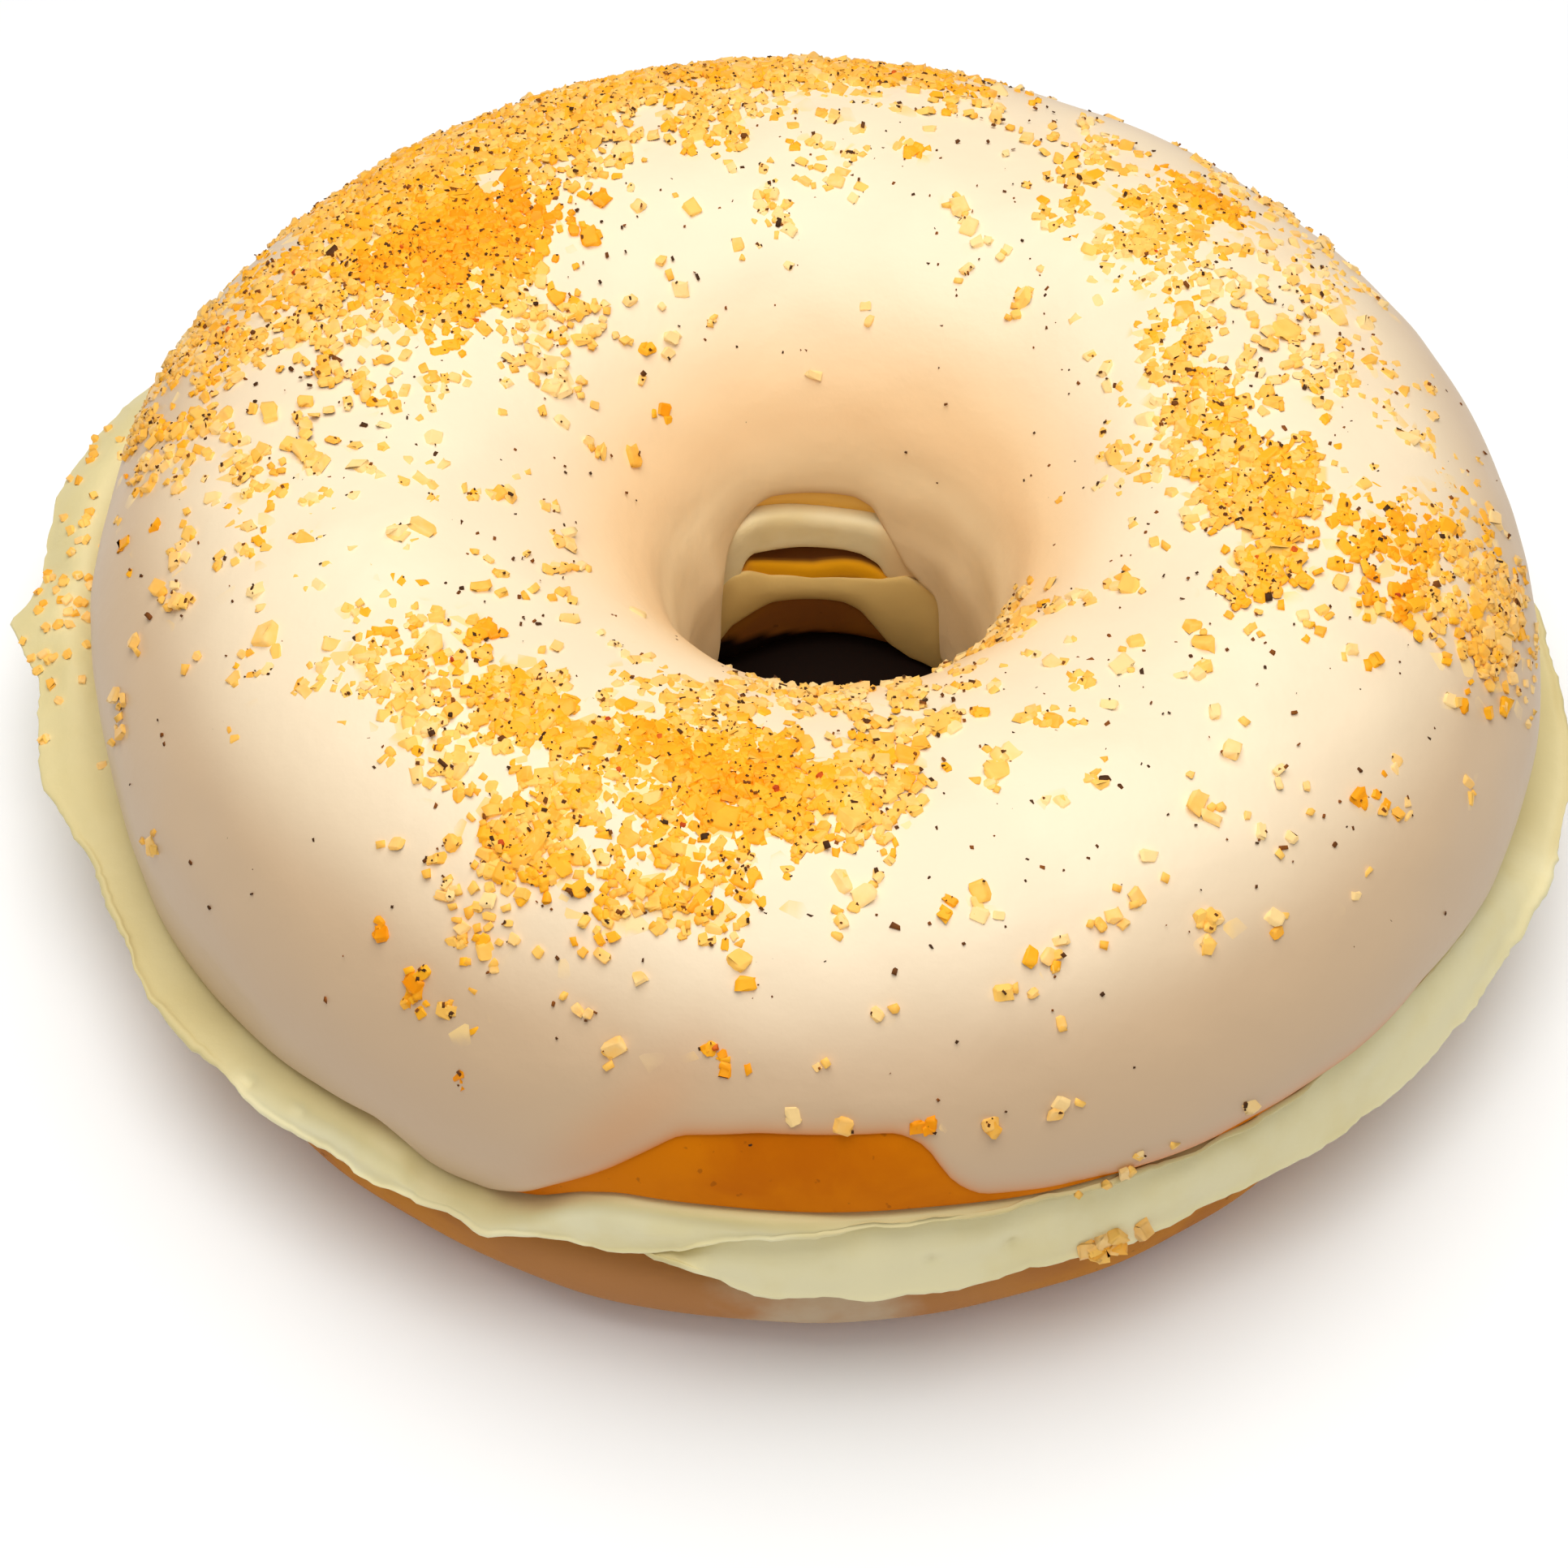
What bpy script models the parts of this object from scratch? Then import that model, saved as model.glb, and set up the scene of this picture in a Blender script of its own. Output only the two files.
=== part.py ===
"""Filled ring doughnut, modelled as four solids that lie on each other.

A split ring of fried dough (bottom_bun and top_bun) holds a layer of cream
(cream_filling), and the upper half wears a coat of set icing with sugar
crystals standing on it (icing).  Metres, +Z up.  The base lies on z = 0 and
the centre of the whole object's box is on the Z axis.  Angles go round +Z
from +X, so the shown front is at -90 degrees.
"""
import math
import random

import bmesh
import bpy
from mathutils import Euler, Matrix, Vector

MM = 0.001

# Driving dimensions, in millimetres.
CREST_R = 27.9          # ring's middle line, under the crest of the icing
GIRTH_Z = 15.2          # height of the iced half's widest point
OUTER_HALF = 18.55      # from the middle line out to the girth
INNER_HALF = 17.5       # from the middle line in to the neck of the hole
UPPER_HALF = 14.5       # from the girth up to the crest
LOWER_HALF = 20.0       # from the girth down, were the lower part not cut off
RING_CENTRE = (1.15, -0.34)
HOLE_SHIFT = (1.57, -1.85)      # the hole lies off the ring's own centre
COAT = 1.0              # thickness of the icing
CREAM_GAP = 0.4         # clearance between the cream and what lies on it
DOME_GAP = 0.55         # the same under the curved icing, whose facets cut inward
BUN_EDGE_Z = 11.2       # lower edge of the upper half, where it meets the cream
FRONT_RISE = 5.1        # how much higher that edge runs in front and on the right
UNDERSIDE_Z = 14.0      # cut underside of the upper half, at the hole
UNDERSIDE_R = 35.9      # beyond this radius the cut slopes down to the outer edge
EDGE_ROUND = 0.6        # small rounding of the cut's two edges
ICING_HANG = 0.4        # how far the icing hangs below that edge
CURTAIN_Z = 6.2         # how far the icing runs down the wall of the hole
ARCH_Z = 15.4           # its edge over the bare arch at the back of the hole
CREAM_FLOOR_Z = 8.8
CREAM_LIP_R = 48.3
CREAM_LIP_Z = 10.3
CREAM_LIP_HALF = 1.0
CREASE_R = (43.2, 46.6, 46.9)   # the cream's top under, at and just past the icing
HOLE_R = 12.0           # hole through the cream and the bottom half
BASE_CENTRE = (0.9, -3.2)
BASE_MID_R = 27.9
BASE_OUTER_HALF = 16.1
BASE_INNER_HALF = 15.9
BASE_TOP_Z = 8.5
BASE_FLAT = (16.0, 36.5)        # the flat ring that the doughnut rests on
# The belly of the bottom half: (inward from its widest radius, height).
BASE_BELLY = ((4.2, 0.7), (1.6, 2.0), (0.3, 3.8), (0.0, 6.0), (0.3, 7.7), (1.0, BASE_TOP_Z))

GIRTH_OVAL = (-0.45, -0.77)     # cosine and sine of twice the angle

# Stretches of the ring where an edge runs higher: (angle, half width, height in mm).
FRONT = (-72, 36)       # the cut edge, by FRONT_RISE
FRONT_SOFTNESS = 10
BARE_PATCH = (-93.3, 12.3, 6.1)
PATCH_SOFTNESS = 8
ARCH = (90, 27)         # the bare arch at the back of the hole, up to ARCH_Z
ARCH_SOFTNESS = 8

# Swells and dips along the ring: (angle, half width, both in degrees, height in mm).
BUN_EDGE_SWELLS = ((-124, 6, 2.3), (60, 25, 0.8), (128, 14, 1.2))
ICING_DRIPS = ((-116.5, 3.5, -1.2), (-146, 9, -1.0), (15, 10, -0.8), (95, 16, -1.0))
SKIRT = (-148, 22, 0.9)         # below the girth the icing stands out a little here
SKIRT_DEPTH = 0.3               # sine of the lean at which it is whole
CURTAIN_FOLDS = ((132, 13, 1.7), (42, 14, 0.8), (-150, 25, 0.5), (-40, 30, 0.4))
ARCH_BULGE = (90, 16, 1.3)
LIP_SWELLS = ((-17, 20, 1.1), (163, 13, 4.5), (-168, 6, 1.9), (-104, 6, -1.5), (70, 22, 0.9), (118, 9, 0.4))
BEAD = (163, 15, 2.6)           # the cream swells upwards here, past the icing
SLOT = (90, 20, 1.9)            # gap between cream and lower half, in the hole

# Sugar: (angle, its spread, lean, its spread, number of grains).  The lean goes
# over the ring's section: 0 outward at the girth, 90 at the crest, 180 at the neck.
SUGAR_BEDS = (
    (138, 12, 80, 12, 24),
    (90, 17, 68, 7, 16),
    (43, 9, 80, 12, 12),
    (14, 9, 92, 14, 11),
    (-12, 9, 62, 15, 12),
    (-104, 14, 90, 14, 24),
    (178, 10, 70, 14, 8),
    (-121, 4, 40, 7, 4),
)
STRAY_GRAINS = 12
GRAIN_SIDE = 1.05       # a crystal's usual edge
GRAIN_SEED = 7

STEPS = 64              # stations round the ring
DOME_STEPS = 9          # points over the section from the outer edge to the neck
NECK_STEPS = 3          # points down the wall of the hole
NECK_LEAN = 168.0


def bell(phi, swell):
    """Height at the angle phi of a bell-shaped swell (angle, half width, height)."""
    angle, width, height = swell
    away = (math.degrees(phi) - angle + 180.0) % 360.0 - 180.0
    return height * math.exp(-0.5 * (away / width) ** 2)


def swells(phi, group):
    """Sum of several bell-shaped swells."""
    return sum(bell(phi, swell) for swell in group)


def plateau(phi, angle, half_width, softness):
    """1 within half_width of the angle, falling to 0 over the softness, in degrees."""
    away = abs((math.degrees(phi) - angle + 180.0) % 360.0 - 180.0)
    return 1.0 / (1.0 + math.exp((away - half_width) / (0.25 * softness)))


def place(radius, height, phi):
    """A point of the upper ring: its centre drifts to the hole's as the radius shrinks."""
    width = INNER_HALF + OUTER_HALF
    outward = min(max((radius - CREST_R + INNER_HALF) / width, 0.0), 1.0)
    x = RING_CENTRE[0] + (1.0 - outward) * HOLE_SHIFT[0] + radius * math.cos(phi)
    y = RING_CENTRE[1] + (1.0 - outward) * HOLE_SHIFT[1] + radius * math.sin(phi)
    return Vector((x, y, height)) * MM


def place_base(radius, height, phi):
    """A point of the bottom half, which lies a little forward of the upper ring."""
    outward = min(max((radius - HOLE_R) / (BASE_OUTER_HALF + BASE_INNER_HALF), 0.0), 1.0)
    hole_x = RING_CENTRE[0] + HOLE_SHIFT[0]
    hole_y = RING_CENTRE[1] + HOLE_SHIFT[1]
    x = hole_x + outward * (BASE_CENTRE[0] - hole_x) + radius * math.cos(phi)
    y = hole_y + outward * (BASE_CENTRE[1] - hole_y) + radius * math.sin(phi)
    return Vector((x, y, height)) * MM


def outer_half(phi):
    """Distance from the middle line out to the girth, slightly oval in plan."""
    return OUTER_HALF + GIRTH_OVAL[0] * math.cos(2 * phi) + GIRTH_OVAL[1] * math.sin(2 * phi)


def dome_point(phi, lean, inset):
    """Radius and height on the iced surface, moved inward by the inset."""
    across = math.cos(lean)
    half = outer_half(phi) if across > 0 else INNER_HALF
    half += bell(phi, SKIRT) * min(max(-math.sin(lean) / SKIRT_DEPTH, 0.0), 1.0)
    upright = UPPER_HALF if math.sin(lean) > 0 else LOWER_HALF
    return (CREST_R + (half - inset) * across, GIRTH_Z + (upright - inset) * math.sin(lean))


def lean_at_height(height, inset):
    """Lean of the outer surface's point at this height."""
    upright = UPPER_HALF if height > GIRTH_Z else LOWER_HALF
    return math.asin((height - GIRTH_Z) / (upright - inset))


def bun_edge(phi):
    """Height of the upper half's outer lower edge."""
    return BUN_EDGE_Z + FRONT_RISE * plateau(phi, *FRONT, FRONT_SOFTNESS) + swells(phi, BUN_EDGE_SWELLS)


def icing_edge(phi):
    """Height of the icing's outer lower edge: drips, and the bare patch in front."""
    angle, half_width, height = BARE_PATCH
    low = bun_edge(phi) - ICING_HANG + swells(phi, ICING_DRIPS)
    return low + height * plateau(phi, angle, half_width, PATCH_SOFTNESS)


def curtain_edge(phi):
    """Height of the icing's lower edge in the hole: high over the arch at the back."""
    return CURTAIN_Z + (ARCH_Z - CURTAIN_Z) * plateau(phi, ARCH[0], ARCH[1], ARCH_SOFTNESS)


def coat_line(phi, inset):
    """The coat's surface as (radius, height) pairs, from outer edge to hole edge."""
    first = lean_at_height(icing_edge(phi), inset)
    last = math.radians(NECK_LEAN)
    line = []
    for step in range(DOME_STEPS):
        lean = first + (last - first) * step / (DOME_STEPS - 1)
        line.append(dome_point(phi, lean, inset))
    top = line[-1][1]
    low = curtain_edge(phi)
    for step in range(1, NECK_STEPS + 1):
        height = top + (low - top) * step / NECK_STEPS
        rise = max(height - GIRTH_Z, 0.0) / (UPPER_HALF - inset)
        hang = min(max((GIRTH_Z + 3.0 - height) / 6.0, 0.0), 1.0)
        radius = CREST_R - (INNER_HALF - inset) * math.sqrt(1.0 - rise * rise)
        line.append((radius - hang * swells(phi, CURTAIN_FOLDS), height))
    return line


def icing_section(phi):
    """Closed section of the icing: its outside, then back along its inside."""
    outside = coat_line(phi, 0.0)
    inside = coat_line(phi, COAT)
    return [place(r, z, phi) for r, z in outside + inside[::-1]]


def top_bun_section(phi):
    """Closed section of the upper half, under the icing and cut flat below."""
    inset = COAT + DOME_GAP
    first = lean_at_height(bun_edge(phi) + EDGE_ROUND, inset)
    last = math.radians(NECK_LEAN)
    line = []
    for step in range(DOME_STEPS):
        lean = first + (last - first) * step / (DOME_STEPS - 1)
        line.append(dome_point(phi, lean, inset))
    neck = CREST_R - INNER_HALF + inset
    line.append((neck, UNDERSIDE_Z + EDGE_ROUND))
    line.append((neck + EDGE_ROUND, UNDERSIDE_Z))
    line.append((UNDERSIDE_R, 0.5 * (UNDERSIDE_Z + bun_edge(phi))))
    line.append((line[0][0] - EDGE_ROUND, bun_edge(phi)))
    return [place(r, z, phi) for r, z in line]


def hole_radius(phi):
    """Wall of the hole through cream and bottom half, nearer at the bare arch."""
    return HOLE_R - bell(phi, ARCH_BULGE)


def cream_section(phi):
    """Closed section of the cream: a slab that ends outside in a thin ragged lip."""
    wall = hole_radius(phi)
    bead = bell(phi, BEAD)
    lip_r = CREAM_LIP_R + swells(phi, LIP_SWELLS)
    lip_z = CREAM_LIP_Z + 0.6 * bead
    half = CREAM_LIP_HALF + 0.4 * bead
    crease_z = min(bun_edge(phi), icing_edge(phi)) - CREAM_GAP
    under, edge, past = CREASE_R
    line = [
        (wall, CREAM_FLOOR_Z + bell(phi, SLOT)),
        (wall + 4.0, CREAM_FLOOR_Z),
        (42.0, CREAM_FLOOR_Z),
        (lip_r - 1.8 - half, CREAM_FLOOR_Z - 0.1),
        (lip_r - 0.5 * half, lip_z - 0.7 * half),
        (lip_r, lip_z),
        (lip_r - 0.7 * half, lip_z + 0.8 * half),
        (max(lip_r - 1.4 * half, past), max(lip_z + half, crease_z)),
        (edge, crease_z),
        (under, crease_z),
        (UNDERSIDE_R, 0.5 * (UNDERSIDE_Z + bun_edge(phi)) - CREAM_GAP),
        (wall + 1.2, UNDERSIDE_Z - CREAM_GAP),
        (wall, UNDERSIDE_Z - 1.2),
    ]
    return [place(r, z, phi) for r, z in line]


def bottom_bun_section(phi):
    """Closed section of the bottom half: flat base, round belly, flat cut top."""
    wall = hole_radius(phi)
    belly = BASE_MID_R + BASE_OUTER_HALF
    line = [(BASE_FLAT[0], 0.0), (BASE_FLAT[1], 0.0)]
    line += [(belly - inward, height) for inward, height in BASE_BELLY]
    line += [
        (wall + 1.0, BASE_TOP_Z),
        (wall, BASE_TOP_Z - 0.8),
        (wall, 3.8),
        (wall + 1.0, 1.4),
    ]
    return [place_base(r, z, phi) for r, z in line]


def material(name, colour, roughness):
    """Principled material with one base colour."""
    made = bpy.data.materials.new(name)
    made.use_nodes = True
    shader = made.node_tree.nodes["Principled BSDF"]
    shader.inputs["Base Color"].default_value = (*colour, 1.0)
    shader.inputs["Roughness"].default_value = roughness
    shader.inputs["Metallic"].default_value = 0.0
    return made


def ring(name, section, colour, roughness):
    """Loft a closed section round the hole into one closed ring."""
    mesh = bmesh.new()
    loops = []
    for step in range(STEPS):
        phi = 2.0 * math.pi * step / STEPS
        loops.append([mesh.verts.new(point) for point in section(phi)])
    for here, following in zip(loops, loops[1:] + loops[:1]):
        for a in range(len(here)):
            b = (a + 1) % len(here)
            mesh.faces.new((here[a], here[b], following[b], following[a]))
    bmesh.ops.triangulate(mesh, faces=mesh.faces[:])
    bmesh.ops.recalc_face_normals(mesh, faces=mesh.faces[:])
    data = bpy.data.meshes.new(name)
    mesh.to_mesh(data)
    mesh.free()
    data.shade_smooth()
    data.set_sharp_from_angle(angle=math.radians(50))
    made = bpy.data.objects.new(name, data)
    bpy.context.scene.collection.objects.link(made)
    data.materials.append(material(name, colour, roughness))
    return made


def grain_frame(phi, lean):
    """Point on the icing and its outward direction."""
    here = place(*dome_point(phi, lean, 0.0), phi)
    along = place(*dome_point(phi + 0.02, lean, 0.0), phi + 0.02) - here
    over = place(*dome_point(phi, lean + 0.02, 0.0), phi) - here
    return here, along.cross(over).normalized()


def grain_places(draw):
    """Angle and lean of every sugar grain: the beds first, then the strays."""
    places = []
    for angle, along, lean, over, count in SUGAR_BEDS:
        for _ in range(count):
            places.append((draw.gauss(angle, along), draw.gauss(lean, over)))
    for _ in range(STRAY_GRAINS):
        places.append((draw.uniform(-180.0, 180.0), draw.uniform(30.0, 130.0)))
    return [(math.radians(angle), math.radians(min(max(lean, 14.0), 140.0))) for angle, lean in places]


def sugar_grains():
    """Angular crystals half sunk in the icing, in a collection of their own."""
    draw = random.Random(GRAIN_SEED)
    beds = bpy.data.collections.new("sugar_grains")
    for index, (phi, lean) in enumerate(grain_places(draw)):
        if lean < lean_at_height(icing_edge(phi) + 2.0, 0.0):
            continue
        point, outward = grain_frame(phi, lean)
        size = GRAIN_SIDE * draw.uniform(0.85, 1.2) * MM
        turn = Euler([draw.uniform(0.0, 2.0 * math.pi) for _ in range(3)]).to_matrix().to_4x4()
        shape = Matrix.Diagonal((draw.uniform(0.85, 1.2), 1.0, draw.uniform(0.75, 1.0), 1.0))
        mesh = bmesh.new()
        bmesh.ops.create_cube(mesh, size=size, matrix=turn @ shape)
        bmesh.ops.translate(mesh, verts=mesh.verts[:], vec=point + outward * 0.15 * size)
        data = bpy.data.meshes.new("grain")
        mesh.to_mesh(data)
        mesh.free()
        beds.objects.link(bpy.data.objects.new(f"grain_{index}", data))
    return beds


def fuse(body, additions):
    """Join a collection of small solids to the body and remove the collection."""
    union = body.modifiers.new("fuse", "BOOLEAN")
    union.operation = "UNION"
    union.operand_type = "COLLECTION"
    union.collection = additions
    union.solver = "EXACT"
    ready = body.evaluated_get(bpy.context.evaluated_depsgraph_get())
    fused = bpy.data.meshes.new_from_object(ready)
    body.modifiers.remove(union)
    body.data = fused
    for grain in list(additions.objects):
        bpy.data.objects.remove(grain)
    bpy.data.collections.remove(additions)


def main():
    """Clear the scene and build the four solids."""
    for old in list(bpy.data.objects):
        bpy.data.objects.remove(old)
    ring("bottom_bun", bottom_bun_section, (0.50, 0.24, 0.07), 0.6)
    ring("cream_filling", cream_section, (0.78, 0.73, 0.45), 0.5)
    ring("top_bun", top_bun_section, (0.58, 0.26, 0.05), 0.6)
    icing = ring("icing", icing_section, (0.86, 0.76, 0.60), 0.35)
    fuse(icing, sugar_grains())


main()
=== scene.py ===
"""Looks of a filled ring doughnut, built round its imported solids.

A place on the ring is given by phi, the angle round the hole (from +X, with
the shown front at -90 degrees), and by lean, the angle over the ring's section
(0 outward at the girth, 90 at the crest, 180 at the neck of the hole).  Shapes
are worked out in millimetres, as whole arrays, and written in metres.
"""
from __future__ import annotations

import logging
import math
from dataclasses import dataclass
from enum import Enum
from typing import ClassVar

import bpy
import numpy as np
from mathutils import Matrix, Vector


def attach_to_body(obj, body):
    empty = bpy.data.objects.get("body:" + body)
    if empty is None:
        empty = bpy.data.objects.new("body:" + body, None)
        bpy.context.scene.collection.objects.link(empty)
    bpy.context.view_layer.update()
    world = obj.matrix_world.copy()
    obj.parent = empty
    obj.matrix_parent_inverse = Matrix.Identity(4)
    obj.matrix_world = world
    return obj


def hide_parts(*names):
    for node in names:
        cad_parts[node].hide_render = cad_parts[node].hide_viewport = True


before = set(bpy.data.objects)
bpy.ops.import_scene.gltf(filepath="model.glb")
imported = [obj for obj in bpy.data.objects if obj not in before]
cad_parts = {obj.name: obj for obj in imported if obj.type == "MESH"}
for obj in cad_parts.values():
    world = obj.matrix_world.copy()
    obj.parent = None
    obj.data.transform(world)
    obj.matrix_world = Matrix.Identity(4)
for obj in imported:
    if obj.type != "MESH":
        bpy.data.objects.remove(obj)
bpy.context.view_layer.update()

LOG = logging.getLogger("doughnut")
MM = 0.001
BODY = "root"


@dataclass(frozen=True)
class EdgeLine:
    """A value that changes round the ring, given by a few knots (degrees, value)."""

    STEP: ClassVar[float] = 0.125
    knots: tuple[tuple[float, float], ...]
    softness: float = 1.0

    def at(self, phi: np.ndarray) -> np.ndarray:
        """Value at each angle: straight lines between knots, smoothed by a bell of this softness.

        Args:
            phi: angles in radians, of any shape.

        Returns:
            Array of the same shape.
        """
        turn = np.arange(-180.0, 180.0, self.STEP)
        angles, values = np.array(sorted(self.knots)).T
        line = np.interp(turn, angles, values, period=360.0)
        pitch = np.fft.rfftfreq(turn.size, d=self.STEP)
        soft = np.exp(-2.0 * (math.pi * pitch * self.softness) ** 2)
        line = np.fft.irfft(np.fft.rfft(line) * soft, turn.size)
        return np.interp(np.degrees(phi), turn, line, period=360.0)


@dataclass(frozen=True)
class RingForm:
    """Form of the iced ring, the same as the solids': half an ellipse on another, round a hole."""

    crest_r: float = 27.9
    girth_z: float = 15.2
    outer_half: float = 18.55
    inner_half: float = 17.5
    upper_half: float = 14.5
    lower_half: float = 20.0
    neck_lean: float = 168.0
    centre: tuple[float, float] = (1.15, -0.34)
    hole_shift: tuple[float, float] = (1.57, -1.85)
    oval: tuple[float, float] = (-0.45, -0.77)
    skirt: EdgeLine = EdgeLine(((-170, 0.0), (-148, 1.0), (-126, 0.0)), 8.0)
    skirt_full_at: float = 0.3

    def spot(self, radius: np.ndarray, height: np.ndarray, phi: np.ndarray) -> np.ndarray:
        """Points in space; the centre drifts from the ring's to the hole's as the radius shrinks.

        Args:
            radius: distance from the local centre.
            height: height over the floor.
            phi: angle round the ring, in radians.

        Returns:
            Array with a last axis of three.
        """
        width = self.inner_half + self.outer_half
        inward = 1.0 - np.clip((radius - self.crest_r + self.inner_half) / width, 0.0, 1.0)
        x = self.centre[0] + inward * self.hole_shift[0] + radius * np.cos(phi)
        y = self.centre[1] + inward * self.hole_shift[1] + radius * np.sin(phi)
        return np.stack(np.broadcast_arrays(x, y, height), axis=-1)

    def section(self, phi: np.ndarray, lean: np.ndarray, inset: np.ndarray) -> tuple[np.ndarray, ...]:
        """Radius and height: crest_r + half cos(lean) and girth_z + upright sin(lean), less the inset.

        Args:
            phi: angles round the ring, in radians.
            lean: angles over the section, in radians.
            inset: depth under the iced surface.

        Returns:
            Radius and height, of the shape that the three make together.
        """
        across = np.cos(lean)
        up = np.sin(lean)
        outer = self.outer_half + self.oval[0] * np.cos(2 * phi) + self.oval[1] * np.sin(2 * phi)
        half = np.where(across > 0.0, outer, self.inner_half)
        half = half + self.skirt.at(phi) * np.clip(-up / self.skirt_full_at, 0.0, 1.0)
        upright = np.where(up > 0.0, self.upper_half, self.lower_half)
        return self.crest_r + (half - inset) * across, self.girth_z + (upright - inset) * up

    def lean_at(self, height: np.ndarray, inset: np.ndarray) -> np.ndarray:
        """Lean of the outer side's point at this height."""
        upright = np.where(height > self.girth_z, self.upper_half, self.lower_half)
        return np.arcsin(np.clip((height - self.girth_z) / (upright - inset), -1.0, 1.0))

    def radius_of(self, points: np.ndarray) -> np.ndarray:
        """Distance of points from the upright line through the ring's centre."""
        return np.hypot(points[..., 0] - self.centre[0], points[..., 1] - self.centre[1])

    def surface(self, phi: np.ndarray, lean: np.ndarray, inset: float = 0.0) -> np.ndarray:
        """Points on the iced surface, or this far under it."""
        radius, height = self.section(phi, lean, inset)
        return self.spot(radius, height, phi)

    def frames(self, phi: np.ndarray, lean: np.ndarray) -> np.ndarray:
        """Local axes on the surface: along the ring, over the section, and outward, as rows.

        Args:
            phi: angles round the ring, one for each place.
            lean: angles over the section, one for each place.

        Returns:
            Array (places, 3, 3) of unit vectors.
        """
        step = 0.01
        along = self.surface(phi + step, lean) - self.surface(phi - step, lean)
        over = self.surface(phi, lean + step) - self.surface(phi, lean - step)
        along /= np.linalg.norm(along, axis=-1, keepdims=True)
        outward = np.cross(along, over)
        outward /= np.linalg.norm(outward, axis=-1, keepdims=True)
        return np.stack([along, np.cross(outward, along), outward], axis=1)


def angles_round(stations: int) -> np.ndarray:
    """Evenly spaced angles round the ring, as a column."""
    return np.linspace(-math.pi, math.pi, stations, endpoint=False)[:, None]


def plateau(phi: np.ndarray, angle: float, half_width: float, softness: float) -> np.ndarray:
    """1 within half_width of the angle and 0 beyond, through an S-curve; all in degrees."""
    away = np.abs((np.degrees(phi) - angle + 180.0) % 360.0 - 180.0)
    return 1.0 / (1.0 + np.exp((away - half_width) / (0.25 * softness)))


def step_up(value: np.ndarray, low: float, high: float) -> np.ndarray:
    """0 below low, 1 above high, and 3t^2 - 2t^3 between."""
    t = np.clip((value - low) / (high - low), 0.0, 1.0)
    return t * t * (3.0 - 2.0 * t)


def waves(points: np.ndarray, length: float, seed: int, stretch: tuple[float, ...] = (1, 1, 1)) -> np.ndarray:
    """Smooth relief, about -1 to 1: the sum of plane waves of random direction, pitch and phase.

    Args:
        points: places in millimetres, last axis of three.
        length: usual wave length in millimetres.
        seed: seed of the draw.
        stretch: factors on the wave length along x, y and z.

    Returns:
        One value for each place.
    """
    count = 24
    draw = np.random.default_rng(seed)
    direction = draw.normal(size=(count, 3))
    direction /= np.linalg.norm(direction, axis=1, keepdims=True)
    pitch = length * draw.uniform(0.7, 1.5, (count, 1))
    phase = draw.uniform(0.0, 2.0 * math.pi, count)
    turns = (points / np.array(stretch)) @ (2.0 * math.pi * direction / pitch).T + phase
    return np.cos(turns).sum(axis=-1) / math.sqrt(2.0 * count)


def profile(corners: list[tuple[np.ndarray, np.ndarray]]) -> np.ndarray:
    """Join (radius, height) columns into closed sections, one for each station."""
    rows = [np.stack(np.broadcast_arrays(radius, height), axis=-1) for radius, height in corners]
    return np.concatenate(rows, axis=1)


def rounded(section: np.ndarray, rounds: int = 2) -> np.ndarray:
    """Cut the corners of closed sections: each side keeps its middle half, and this is repeated.

    Args:
        section: (stations, points, 2) radii and heights.
        rounds: how often the corners are cut.

    Returns:
        The same sections with twice the points for each round.
    """
    for _ in range(rounds):
        following = np.roll(section, -1, axis=1)
        near = 0.75 * section + 0.25 * following
        far = 0.25 * section + 0.75 * following
        section = np.stack([near, far], axis=2).reshape(section.shape[0], -1, section.shape[2])
    return section


def grid_normals(grid: np.ndarray) -> np.ndarray:
    """Unit normals of a ring grid closed both ways: the cross product of its two differences.

    Args:
        grid: (stations, points, 3) grid.

    Returns:
        Array of the same shape.
    """
    round_hole = np.roll(grid, -1, axis=0) - np.roll(grid, 1, axis=0)
    round_section = np.roll(grid, -1, axis=1) - np.roll(grid, 1, axis=1)
    normal = np.cross(round_hole, round_section)
    length = np.linalg.norm(normal, axis=-1, keepdims=True)
    return normal / np.maximum(length, 1e-9)


def write_mesh(name: str, points: np.ndarray, loops: np.ndarray, sides: np.ndarray) -> bpy.types.Object:
    """Write points and faces into a new object at the origin.

    Args:
        name: the piece's name.
        points: (n, 3) in millimetres.
        loops: corner indices of all faces, one after the other.
        sides: number of corners of each face.

    Returns:
        The new object, smooth shaded.
    """
    mesh = bpy.data.meshes.new(name)
    mesh.vertices.add(len(points))
    mesh.vertices.foreach_set("co", (points * MM).astype(np.float32).ravel())
    mesh.loops.add(loops.size)
    mesh.loops.foreach_set("vertex_index", loops.astype(np.int32).ravel())
    mesh.polygons.add(sides.size)
    starts = np.concatenate([[0], np.cumsum(sides)[:-1]])
    mesh.polygons.foreach_set("loop_start", starts.astype(np.int32))
    mesh.update(calc_edges=True)
    mesh.validate()
    mesh.shade_smooth()
    piece = bpy.data.objects.new(name, mesh)
    bpy.context.scene.collection.objects.link(piece)
    return piece


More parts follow.
